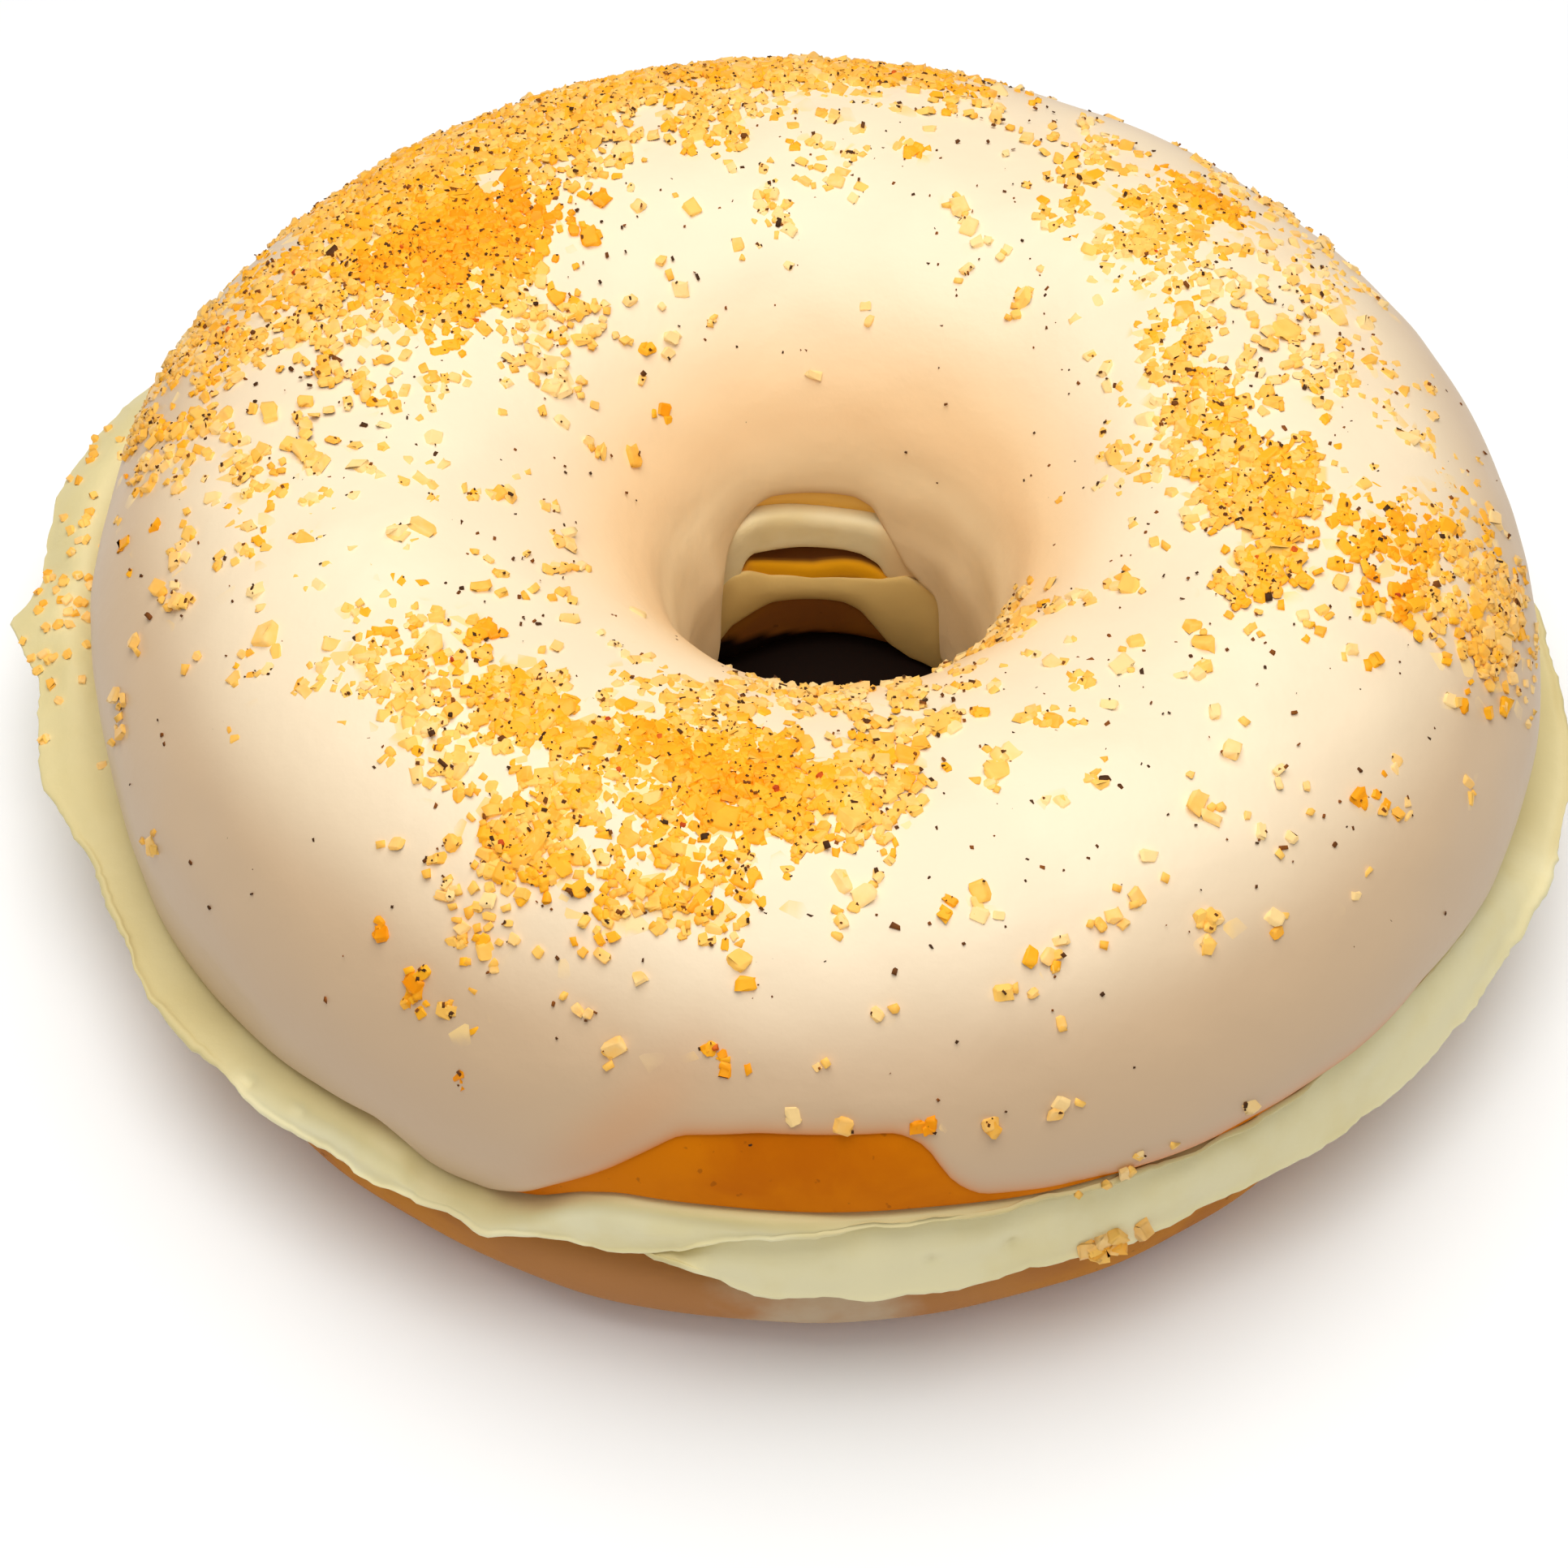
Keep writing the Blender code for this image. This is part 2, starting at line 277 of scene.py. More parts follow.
def ring_mesh(name: str, grid: np.ndarray) -> bpy.types.Object:
    """Close a (stations, points, 3) grid both ways into a ring with its faces outward.

    The signed volume, a sum of triple products, tells which way round the faces go.

    Args:
        name: the piece's name.
        grid: the points in millimetres.

    Returns:
        The new object.
    """
    stations, count, _ = grid.shape
    corner = np.arange(stations * count).reshape(stations, count)
    beyond = np.roll(corner, -1, axis=0)
    quads = np.stack([corner, np.roll(corner, -1, axis=1), np.roll(beyond, -1, axis=1), beyond], axis=-1)
    quads = quads.reshape(-1, 4)
    points = grid.reshape(-1, 3)
    a, b, c, d = (points[quads[:, k]] for k in range(4))
    volume = np.einsum("ij,ij->", a, np.cross(b, c)) + np.einsum("ij,ij->", a, np.cross(c, d))
    if volume < 0.0:
        quads = quads[:, ::-1]
    return write_mesh(name, points, quads, np.full(len(quads), 4))


def outward_normals(grid: np.ndarray) -> np.ndarray:
    """Unit normals of a ring grid, turned away from the middle of each section.

    Args:
        grid: (stations, points, 3) grid.

    Returns:
        Array of the same shape.
    """
    normals = grid_normals(grid)
    away = grid - grid.mean(axis=1, keepdims=True)
    return normals if float((normals * away).sum()) > 0.0 else -normals


def perches(grid: np.ndarray, rows: np.ndarray, columns: np.ndarray) -> tuple[np.ndarray, np.ndarray]:
    """Places on a ring grid with their local axes, the third of which points outward.

    Args:
        grid: (stations, points, 3) grid.
        rows: station of each place.
        columns: point of each place.

    Returns:
        Centres (n, 3) and axes (n, 3, 3).
    """
    outward = outward_normals(grid)[rows, columns]
    along = (np.roll(grid, -1, axis=0) - grid)[rows, columns]
    along /= np.linalg.norm(along, axis=-1, keepdims=True)
    over = np.cross(outward, along)
    return grid[rows, columns], np.stack([np.cross(over, outward), over, outward], axis=1)


def set_attributes(piece: bpy.types.Object, **values: np.ndarray | float) -> None:
    """Store numbers for the vertices under these names: one for each, or one for all.

    Args:
        piece: the object whose mesh takes them.
        values: an array with a value for each vertex, or a single number.
    """
    count = len(piece.data.vertices)
    for name, value in values.items():
        every = np.full(count, value) if isinstance(value, float) else value
        layer = piece.data.attributes.new(name, "FLOAT", "POINT")
        layer.data.foreach_set("value", every.astype(np.float32).ravel())


class NodeBoard:
    """One material's nodes, with a short call for each kind that the finishes share."""

    def __init__(self, name: str) -> None:
        """Start a material with its Principled shader and Object coordinates.

        Args:
            name: the material's name.
        """
        self.material = bpy.data.materials.new(name)
        self.material.use_nodes = True
        self.nodes = self.material.node_tree.nodes
        self.links = self.material.node_tree.links
        self.shader = self.nodes["Principled BSDF"]
        self.place = self.nodes.new("ShaderNodeTexCoord").outputs["Object"]

    def set(self, **values: float | tuple[float, ...]) -> None:
        """Set the shader's own sockets; an underscore stands for a space."""
        for key, value in values.items():
            self.shader.inputs[key.replace("_", " ")].default_value = value

    def feed(self, socket: str, source: bpy.types.NodeSocket) -> None:
        """Link a source to one of the shader's sockets."""
        self.links.new(source, self.shader.inputs[socket])

    def attribute(self, name: str) -> bpy.types.NodeSocket:
        """Read the values that the piece stores for its vertices.

        Args:
            name: the values' name.

        Returns:
            The value at each place.
        """
        node = self.nodes.new("ShaderNodeAttribute")
        node.attribute_name = name
        return node.outputs["Fac"]

    def noise(self, scale: float, detail: float = 3.0, distortion: float = 0.0) -> bpy.types.NodeSocket:
        """Noise over the piece.

        Args:
            scale: waves to the metre.
            detail: octaves of finer noise.
            distortion: how far the noise is pulled about.

        Returns:
            The noise, 0 to 1.
        """
        node = self.nodes.new("ShaderNodeTexNoise")
        node.inputs["Scale"].default_value = scale
        node.inputs["Detail"].default_value = detail
        node.inputs["Distortion"].default_value = distortion
        self.links.new(self.place, node.inputs["Vector"])
        return node.outputs["Fac"]

    def height(self) -> bpy.types.NodeSocket:
        """Read the height over the floor.

        Returns:
            The height, in metres.
        """
        node = self.nodes.new("ShaderNodeSeparateXYZ")
        self.links.new(self.place, node.inputs["Vector"])
        return node.outputs["Z"]

    def distance(self) -> bpy.types.NodeSocket:
        """Read the distance from the middle of the floor.

        Returns:
            The distance, in metres.
        """
        node = self.nodes.new("ShaderNodeVectorMath")
        node.operation = "LENGTH"
        self.links.new(self.place, node.inputs[0])
        return node.outputs["Value"]

    def cells(self, scale: float) -> tuple[bpy.types.NodeSocket, bpy.types.NodeSocket]:
        """A broken-up pattern of cells over the piece.

        Args:
            scale: cells to the metre.

        Returns:
            Two random numbers, each the same all over a cell.
        """
        node = self.nodes.new("ShaderNodeTexVoronoi")
        node.inputs["Scale"].default_value = scale
        self.links.new(self.place, node.inputs["Vector"])
        split = self.nodes.new("ShaderNodeSeparateColor")
        self.links.new(node.outputs["Color"], split.inputs[0])
        return split.outputs[0], split.outputs[1]

    def stretch(self, source: bpy.types.NodeSocket, low: float, high: float) -> bpy.types.NodeSocket:
        """Rise smoothly from 0 at low to 1 at high, and hold beyond both.

        Args:
            source: the value that is read.
            low: where the result is 0.
            high: where the result is 1.

        Returns:
            The stretched value.
        """
        node = self.nodes.new("ShaderNodeMapRange")
        node.interpolation_type = "SMOOTHSTEP"
        node.inputs["From Min"].default_value = low
        node.inputs["From Max"].default_value = high
        self.links.new(source, node.inputs["Value"])
        return node.outputs["Result"]

    def maths(self, kind: str, source: bpy.types.NodeSocket, other: object) -> bpy.types.NodeSocket:
        """One of the Math node's operations on two values.

        Args:
            kind: the operation, as the node names it.
            source: the first value.
            other: a number or a socket.

        Returns:
            The result.
        """
        node = self.nodes.new("ShaderNodeMath")
        node.operation = kind
        self.links.new(source, node.inputs[0])
        if isinstance(other, float):
            node.inputs[1].default_value = other
        else:
            self.links.new(other, node.inputs[1])
        return node.outputs[0]

    def blend(self, factor: bpy.types.NodeSocket, first: object, second: object) -> bpy.types.NodeSocket:
        """Colour between two colours, by the factor.

        Args:
            factor: 0 for the first, 1 for the second.
            first: a colour or a socket.
            second: a colour or a socket.

        Returns:
            The blended colour.
        """
        node = self.nodes.new("ShaderNodeMix")
        node.data_type = "RGBA"
        self.links.new(factor, node.inputs[0])
        for slot, colour in ((6, first), (7, second)):
            if isinstance(colour, tuple):
                node.inputs[slot].default_value = (*colour, 1.0)
            else:
                self.links.new(colour, node.inputs[slot])
        return node.outputs[2]

    def bump(self, height: bpy.types.NodeSocket, distance: float, strength: float = 1.0) -> None:
        """Raise the surface's shading.

        Args:
            height: the relief, 0 to 1.
            distance: what 1 stands for, in metres.
            strength: share of the relief that is used.
        """
        node = self.nodes.new("ShaderNodeBump")
        node.inputs["Distance"].default_value = distance
        node.inputs["Strength"].default_value = strength
        self.links.new(height, node.inputs["Height"])
        self.links.new(node.outputs["Normal"], self.shader.inputs["Normal"])


Colour = tuple[float, float, float]


@dataclass(frozen=True)
class IcingFinish:
    """Set sugar icing: satin ivory, with flat sugar grains sunk in it and stained by those on it."""

    ivory: Colour = (0.93, 0.77, 0.545)
    # warm: the warmer tone of the mottling, and painted shade low on the outer sides by `thin`.
    warm: Colour = (0.65, 0.46, 0.285)
    # peach: painted warm light, for light that bounces and glows inside the hole.
    peach: Colour = (0.97, 0.68, 0.38)
    # deep: paler low in the hole, painted light.
    deep: Colour = (0.98, 0.76, 0.46)
    pale_grain: Colour = (0.95, 0.72, 0.36)
    honey_grain: Colour = (0.94, 0.60, 0.20)
    amber: Colour = (0.95, 0.40, 0.02)
    golden: Colour = (0.70, 0.20, 0.003)
    grains_to_metre: float = 1050.0
    clouds_to_metre: float = 110.0
    cloudiness: float = 0.12
    # Heights over which the hole's painted light turns paler, low in it.
    deep_from: float = 0.0215
    deep_to: float = 0.017

    def material(self) -> bpy.types.Material:
        """Ivory that the coat's own values turn.

        It is darker and warmer low on the outer sides by `thin`, painted shade; peach by `crater`,
        painted warm light in the hole, and paler low in it, painted light too; shows grain cells by
        `stain`, amber by `heat`, and the dough under it where `veil` falls.

        Returns:
            The material.
        """
        board = NodeBoard("icing")
        clouds = board.stretch(board.noise(self.clouds_to_metre, 4.0), 0.35, 0.65)
        base = board.blend(board.maths("MULTIPLY", clouds, self.cloudiness), self.ivory, self.warm)
        # Painted shade: darker and warmer low on the outer sides, most in front, by `thin`.
        base = board.blend(board.attribute("thin"), base, self.warm)
        # Painted light: peach in the hole by `crater`, paler low in it.
        low = board.stretch(board.height(), self.deep_from, self.deep_to)
        inside = board.blend(low, self.peach, self.deep)
        base = board.blend(board.attribute("crater"), base, inside)
        chance, tone = board.cells(self.grains_to_metre)
        sunk = board.stretch(board.maths("SUBTRACT", board.attribute("stain"), chance), 0.0, 0.12)
        base = board.blend(sunk, base, board.blend(tone, self.pale_grain, self.honey_grain))
        base = board.blend(board.attribute("heat"), base, self.amber)
        base = board.blend(board.attribute("veil"), self.golden, base)
        board.feed("Base Color", base)
        board.set(Roughness=0.42, IOR=1.45)
        relief = board.maths("ADD", board.maths("MULTIPLY", sunk, 0.7), board.noise(900.0, 3.0))
        board.bump(relief, 0.00009, 0.4)
        return board.material


@dataclass(frozen=True)
class DoughFinish:
    """Fried dough: golden crust with fine mottling, browner in patches."""

    name: str
    golden: Colour
    brown: Colour
    deep: Colour
    roughness: float = 0.5
    patches_to_metre: float = 160.0
    pores_to_metre: float = 1500.0

    def tinted(self, board: NodeBoard, base: bpy.types.NodeSocket) -> bpy.types.NodeSocket:
        """The crust's colour as it is; other doughs lay more over it."""
        return base

    def material(self) -> bpy.types.Material:
        """Golden to brown by patches of noise, with a few dark pores.

        Returns:
            The material.
        """
        board = NodeBoard(self.name)
        patches = board.stretch(board.noise(self.patches_to_metre, 4.0, 0.4), 0.38, 0.70)
        pores = board.stretch(board.noise(self.pores_to_metre, 2.0), 0.68, 0.76)
        base = board.blend(patches, self.golden, self.brown)
        base = board.blend(board.maths("MULTIPLY", pores, 0.45), base, self.deep)
        board.feed("Base Color", self.tinted(board, base))
        board.set(Roughness=self.roughness, Specular_IOR_Level=0.02)
        board.bump(board.noise(1100.0, 4.0), 0.00010, 0.4)
        return board.material


@dataclass(frozen=True)
class UpperDoughFinish(DoughFinish):
    """The upper half's crust: golden, and paler in the hole's arch, as painted light where the arch lies in
    shade.
    """

    # soaked: painted light on the dough in the hole's arch.
    soaked: Colour = (0.98, 0.62, 0.16)

    def tinted(self, board: NodeBoard, base: bpy.types.NodeSocket) -> bpy.types.NodeSocket:
        """Paler by `arch`, as painted light."""
        return board.blend(board.attribute("arch"), base, self.soaked)


@dataclass(frozen=True)
class LowerDoughFinish(DoughFinish):
    """The lower half's crust: tan in front, dark in the hole by darker crust and painted shade, with a thin
    smear of glaze.
    """

    tan: Colour = (0.48, 0.215, 0.075)
    glaze: Colour = (0.58, 0.44, 0.29)
    # strip: the cut edge's own golden, brighter as painted light.
    strip: Colour = (0.90, 0.42, 0.01)
    # black: painted shadow, near black.
    black: Colour = (0.012, 0.006, 0.004)

    def tinted(self, board: NodeBoard, base: bpy.types.NodeSocket) -> bpy.types.NodeSocket:
        """Tan by `tan`, brown by `char`, crust and painted shade, golden by `strip`,
        its own edge and painted light, painted shadow by `black`, then the smear by `glaze`.

        Args:
            board: the material's nodes.
            base: the crust's own colour.

        Returns:
            The colour with everything laid over it.
        """
        base = board.blend(board.attribute("tan"), base, self.tan)
        # Painted shade in part: dark in the slot, and a darker crust on the wall below the cut that is partly
        # painted shade.
        base = board.blend(board.attribute("char"), base, self.deep)
        # Painted light in part: the cut's edge brighter golden where light falls.
        base = board.blend(board.attribute("strip"), base, self.strip)
        # Painted shadow, near black, at the foot of the wall in the hole.
        base = board.blend(board.attribute("black"), base, self.black)
        streaks = board.maths("ADD", board.attribute("glaze"), board.noise(300.0, 4.0))
        return board.blend(board.stretch(streaks, 0.75, 1.60), base, self.glaze)


@dataclass(frozen=True)
class CreamFinish:
    """Custard cream: pale yellow, moist, with faint whiter streaks."""

    pale: Colour = (0.96, 0.89, 0.57)
    yellow: Colour = (0.92, 0.82, 0.46)
    # Painted shade: olive where the icing, dough or upper lip shades the cream, by `root`.
    olive: Colour = (0.68, 0.57, 0.27)
    # Painted warm light in the hole, by `blush`.
    tan: Colour = (0.97, 0.70, 0.37)

    def material(self) -> bpy.types.Material:
        """Pale to yellower by clouds, olive by `root` as painted shade, tan by `blush` as painted
        warm light in the hole, with fine pits in the bump.

        Returns:
            The material.
        """
        board = NodeBoard("cream")
        clouds = board.stretch(board.noise(220.0, 4.0), 0.4, 0.7)
        base = board.blend(clouds, self.pale, self.yellow)
        base = board.blend(board.attribute("root"), base, self.olive)
        board.feed("Base Color", board.blend(board.attribute("blush"), base, self.tan))
        board.set(Roughness=0.45, IOR=1.45, Specular_IOR_Level=0.35)
        board.bump(board.noise(700.0, 5.0), 0.00015, 0.5)
        return board.material


class SugarKind(Enum):
    """Kinds of raw sugar crystal: pale, honey and amber, by colour of a thin and a thick one."""

    PALE = ((1.0, 0.70, 0.31), (1.0, 0.53, 0.11))
    HONEY = ((1.0, 0.58, 0.13), (0.97, 0.42, 0.03))
    AMBER = ((1.0, 0.45, 0.02), (0.94, 0.29, 0.003))


@dataclass(frozen=True)
class SugarFinish:
    """Raw sugar crystals: clear honey bodies that glow with the light inside them."""

    kind: SugarKind
    glint: tuple[float, ...] = (1.0, 0.80, 0.35, 1.0)

    def material(self) -> bpy.types.Material:
        """Between the kind's two colours by each crystal's own `tone` and soft clouds inside it.

        Returns:
            The material.
        """
        board = NodeBoard("sugar_" + self.kind.name.lower())
        thin, thick = self.kind.value
        depth = board.maths("ADD", board.attribute("tone"), board.noise(1300.0, 2.0))
        board.feed("Base Color", board.blend(board.stretch(depth, 0.4, 1.6), thin, thick))
        board.set(Roughness=0.30, IOR=1.5, Specular_IOR_Level=0.30, Specular_Tint=self.glint)
        board.bump(board.noise(2500.0, 2.0), 0.00005, 0.4)
        return board.material


@dataclass(frozen=True)
class SpeckFinish:
    """Ground spice: dark brown, or red-brown in the rare larger crumbs."""

    name: str
    dark: Colour
    light: Colour

    def material(self) -> bpy.types.Material:
        """Between the two colours by each speck's own `tone`, matt.

        Returns:
            The material.
        """
        board = NodeBoard(self.name)
        board.feed("Base Color", board.blend(board.attribute("tone"), self.dark, self.light))
        board.set(Roughness=0.7, Specular_IOR_Level=0.2)
        board.bump(board.noise(4000.0, 2.0), 0.00005, 0.5)
        return board.material


@dataclass(frozen=True)
class Edges:
    """Edge lines of the layers, as heights in millimetres unless said otherwise."""

    icing: EdgeLine = EdgeLine((
        (-180, 10.6), (-165, 10.4), (-150, 9.8), (-142, 9.8), (-136, 10.4), (-128, 12.0), (-122.5, 13.2),
        (-120.3, 12.3), (-119, 11.0), (-117, 10.6), (-113.8, 10.9), (-110.4, 13.2), (-108, 15.3),
        (-105, 17.5), (-102.5, 19.3), (-99.5, 21.2), (-94, 21.9), (-84.5, 22.0), (-82.5, 21.2),
        (-81, 18.9), (-79, 17.5), (-74, 16.9), (-62, 16.5), (-42, 16.5), (-30, 13.5), (-15, 11.0),
        (15, 10.2), (55, 11.4), (90, 10.4), (128, 11.8), (160, 11.0),
    ), 0.5)
    dough: EdgeLine = EdgeLine((
        (-180, 11.0), (-150, 10.4), (-136, 10.9), (-122, 12.6), (-116, 11.2), (-113, 11.0), (-109.7, 12.3),
        (-106.5, 14.7), (-103.4, 15.8), (-97, 16.2), (-83, 16.5), (-74, 16.2), (-60, 15.7), (-53, 15.8),
        (-46, 16.35), (-38, 16.0), (-28, 13.2), (-15, 11.3), (20, 11.3), (60, 11.9), (100, 11.4),
        (128, 12.3), (155, 11.3),
    ), 0.7)
    curtain: EdgeLine = EdgeLine((
        (-180, 4.4), (-150, 6.0), (-90, 6.6), (-30, 5.6), (20, 3.4), (37, 2.6), (39.5, 2.9), (41, 6.2),
        (43, 7.4), (46, 8.0), (52, 8.3), (59.6, 9.5), (65, 11.0), (70, 12.6), (75, 14.2), (82, 14.8),
        (97.7, 15.2), (113, 15.6), (118, 15.3), (123.3, 14.6), (129, 13.6), (134, 12.6), (139, 11.2),
        (143, 9.0), (146, 5.0), (149, 3.4), (160, 3.4),
    ), 0.8)
    arch: EdgeLine = EdgeLine((
        (-180, 13.6), (40, 13.6), (60, 13.0), (72, 12.9), (86, 13.0), (97, 13.4), (106, 13.9), (114, 14.3),
        (121, 14.6), (127, 14.2), (134, 13.6),
    ), 1.5)

    def bare(self, phi: np.ndarray, height: np.ndarray) -> np.ndarray:
        """How bare the dough lies: along the front's low band and patch, and in the arch.

        Args:
            phi: angles round the ring.
            height: heights of the places.

        Returns:
            0 where it is covered to 1 where it is bare.
        """
        band = plateau(phi, -79.0, 42.0, 9.0) * (1.0 - step_up(height - self.icing.at(phi), 1.6, 4.0))
        arch = plateau(phi, 97.0, 42.0, 10.0) * (1.0 - step_up(height, 16.5, 19.0))
        return np.maximum(band, arch)

    def dough_inset(self, phi: np.ndarray, height: np.ndarray) -> np.ndarray:
        """Depth of the dough under the iced surface: 1.3 under the coat, 0.42 where it lies bare."""
        return 1.3 - 0.88 * self.bare(phi, height)


@dataclass
class IcingCoat:
    """The icing: an outer face over the ring, down into the hole, and a back just off the dough."""

    form: RingForm
    edges: Edges
    stations: int = 560
    dome_points: int = 116
    neck_points: int = 26
    back_step: int = 9
    rim: EdgeLine = EdgeLine((
        (-180, 1.1), (-114, 1.1), (-108, 1.6), (-98, 2.4), (-84, 2.2), (-80, 3.0), (-45, 3.0),
        (-25, 1.3), (180, 1.1),
    ), 2.0)
    folds: EdgeLine = EdgeLine((
        (-180, 0.9), (-150, 0.5), (-90, 0.2), (-40, 0.4), (10, 0.5), (34, 0.9), (46, 0.6), (60, 0.6),
        (72, 0.5), (82, 0.05), (126, 0.05), (136, 0.6), (146, 1.3), (160, 1.0),
    ), 2.0)
    inner_rim: float = 1.1
    gap: float = 0.08
    shoulder: tuple[float, float] = (24.0, 31.0)
    # Heights over which the painted shade `thin` fades out.
    low_band: tuple[float, float] = (24.0, 29.2)
    # Heights over which the painted warm light in the hole fades out.
    crater_band: tuple[float, float] = (22.0, 29.0)

    def path(self, phi: np.ndarray) -> tuple[np.ndarray, np.ndarray]:
        """Radius and height of the outer face's line, from the outer edge to the edge in the hole.

        Over the dome the lean grows as a power of the way along.  In the hole the line hangs down
        the neck's ellipse and moves into the hole by the folds' depth.

        Args:
            phi: the stations' angles, as a column.

        Returns:
            Radii and heights, one row for each station.
        """
        first = self.form.lean_at(self.edges.icing.at(phi), 0.0)
        last = math.radians(self.form.neck_lean)
        share = np.linspace(0.0, 1.0, self.dome_points)[None, :] ** 1.5
        radius, height = self.form.section(phi, first + (last - first) * share, 0.0)
        top = height[:, -1:]
        down = 1.0 - (1.0 - np.linspace(0.0, 1.0, self.neck_points + 1)[None, 1:]) ** 1.5
        low = top + (self.edges.curtain.at(phi) - top) * down
        rise = np.maximum(low - self.form.girth_z, 0.0) / self.form.upper_half
        hang = np.clip((18.2 - low) / 6.0, 0.0, 1.0)
        wall = self.form.crest_r - self.form.inner_half * np.sqrt(1.0 - rise**2) - hang * self.folds.at(phi)
        return np.hstack([radius, wall]), np.hstack([height, low])

    def grid(self) -> tuple[np.ndarray, np.ndarray]:
        """Ring grid of the coat and its thickness at each point.

        Each end's rim is a quarter ellipse: the face sinks by drop (1 - sqrt(1 - (1 - d/rim)^2))
        within the rim's width d of the edge.

        Returns:
            The (stations, points, 3) grid and the (stations, points) thickness.
        """
        phi = angles_round(self.stations)
        radius, height = self.path(phi)
        run = np.hypot(np.diff(radius, axis=1), np.diff(height, axis=1))
        from_edge = np.hstack([np.zeros_like(phi), np.cumsum(run, axis=1)])
        to_end = from_edge[:, -1:] - from_edge
        along_r = np.gradient(radius, axis=1)
        along_z = np.gradient(height, axis=1)
        length = np.hypot(along_r, along_z)
        out_r, out_z = along_z / length, -along_r / length
        back = self.edges.dough_inset(phi, height) - self.gap
        drop = np.zeros_like(radius)
        for away, width in ((from_edge, self.rim.at(phi)), (to_end, self.inner_rim)):
            near = 1.0 - np.clip(away / width, 0.0, 1.0)
            drop = np.maximum(drop, 1.0 - np.sqrt(1.0 - near**2))
        points = self.form.spot(radius, height, phi)
        relief = 0.16 * waves(points, 16.0, 3) + 0.05 * waves(points, 5.0, 4)
        lift = relief - drop * back
        face = self.form.spot(radius + lift * out_r, height + lift * out_z, phi)
        pick = np.arange(radius.shape[1] - 1, -1, -self.back_step)
        inner_r = (radius - (back + 0.02) * out_r)[:, pick]
        inner_z = (height - (back + 0.02) * out_z)[:, pick]
        behind = self.form.spot(inner_r, inner_z, phi)
        thickness = np.hstack([back * (1.0 - drop), np.ones_like(inner_r)])
        return np.concatenate([face, behind], axis=1), thickness

    def build(self, sugar: "SugarPlan") -> bpy.types.Object:
        """Mesh of the coat, with its values for the finish.

        `veil` follows its thickness, and is worn beside the bare patch; `thin`, painted shade, and
        `crater`, painted warm light, fall off with height outside and inside; `stain` and `heat` come
        from the sugar on it.

        Args:
            sugar: where the crystals lie.

        Returns:
            The dressed piece.
        """
        grid, thickness = self.grid()
        piece = ring_mesh("icing_coat", grid)
        phi = angles_round(self.stations)
        height = grid[..., 2]
        above = height - self.edges.icing.at(phi)
        worn = 0.30 * plateau(phi, -104.0, 4.0, 6.0) * (1.0 - step_up(above, 1.5, 6.5))
        outer = step_up(self.form.radius_of(grid), *self.shoulder)
        low = outer * (1.0 - step_up(height, *self.low_band))
        stain, heat = sugar.stain(self.form, grid)
        set_attributes(
            piece,
            veil=step_up(thickness, 0.0, 0.34) - worn,
            # `thin` is painted shade: darker and warmer low on the outer sides, most in front.
            thin=low * (0.85 + 0.15 * plateau(phi, -95.0, 50.0, 30.0)),
            # `crater` is painted warm light in the hole, fading out upward.
            crater=(1.0 - outer) * (1.0 - step_up(height, *self.crater_band)),
            stain=stain,
            heat=heat,
        )
        piece.data.materials.append(IcingFinish().material())
        return piece


@dataclass
class TopDough:
    """Upper half of the dough, which shows at the bare patch and in the arch of the hole."""

    form: RingForm
    edges: Edges
    stations: int = 420
    face_points: int = 90
    arch_step: float = 0.85
    middle_r: float = 35.9

    def build(self) -> bpy.types.Object:
        """Outer face from the cut's edge to the neck, then the cut face back below it.

        Returns:
            The dressed piece.
        """
        phi = angles_round(self.stations)
        edge = self.edges.dough.at(phi)
        first = self.form.lean_at(edge + 0.35, 0.5)
        last = math.radians(self.form.neck_lean)
        share = np.linspace(0.0, 1.0, self.face_points)[None, :] ** 1.2
        lean = first + (last - first) * share
        _, height = self.form.section(phi, lean, 0.5)
        radius, height = self.form.section(phi, lean, self.edges.dough_inset(phi, height))
        wall = radius[:, -1:] - self.arch_step * plateau(phi, 97.0, 30.0, 8.0)
        outer = radius[:, :1]
        low = self.edges.arch.at(phi)
        cut = profile([
            (wall + 0.15, low + 2.0), (wall + 0.02, low + 1.0), (wall + 0.1, low + 0.2), (wall + 0.7, low),
            (self.middle_r, 0.5 * (low + edge)), (outer - 1.0, edge), (outer - 0.25, edge + 0.05),
        ])
        radius = np.hstack([radius, cut[..., 0]])
        height = np.hstack([height, cut[..., 1]])
        grid = self.form.spot(radius, height, phi)
        grid += grid_normals(grid) * (0.05 * waves(grid, 7.0, 11))[..., None]
        piece = ring_mesh("top_dough", grid)
        # `arch` is painted light: the dough in the hole's arch paler, where it lies in shade.
        set_attributes(piece, arch=1.0 - step_up(radius, 11.5, 14.0))
        finish = UpperDoughFinish(
            "top_dough",
            golden=(0.72, 0.20, 0.002),
            brown=(0.60, 0.145, 0.002),
            deep=(0.25, 0.06, 0.004),
        )
        piece.data.materials.append(finish.material())
        return piece


@dataclass(frozen=True)
class Pit:
    """A small dent in the cream: place, radius and depth."""

    phi: float
    radius: float
    height: float
    width: float
    depth: float


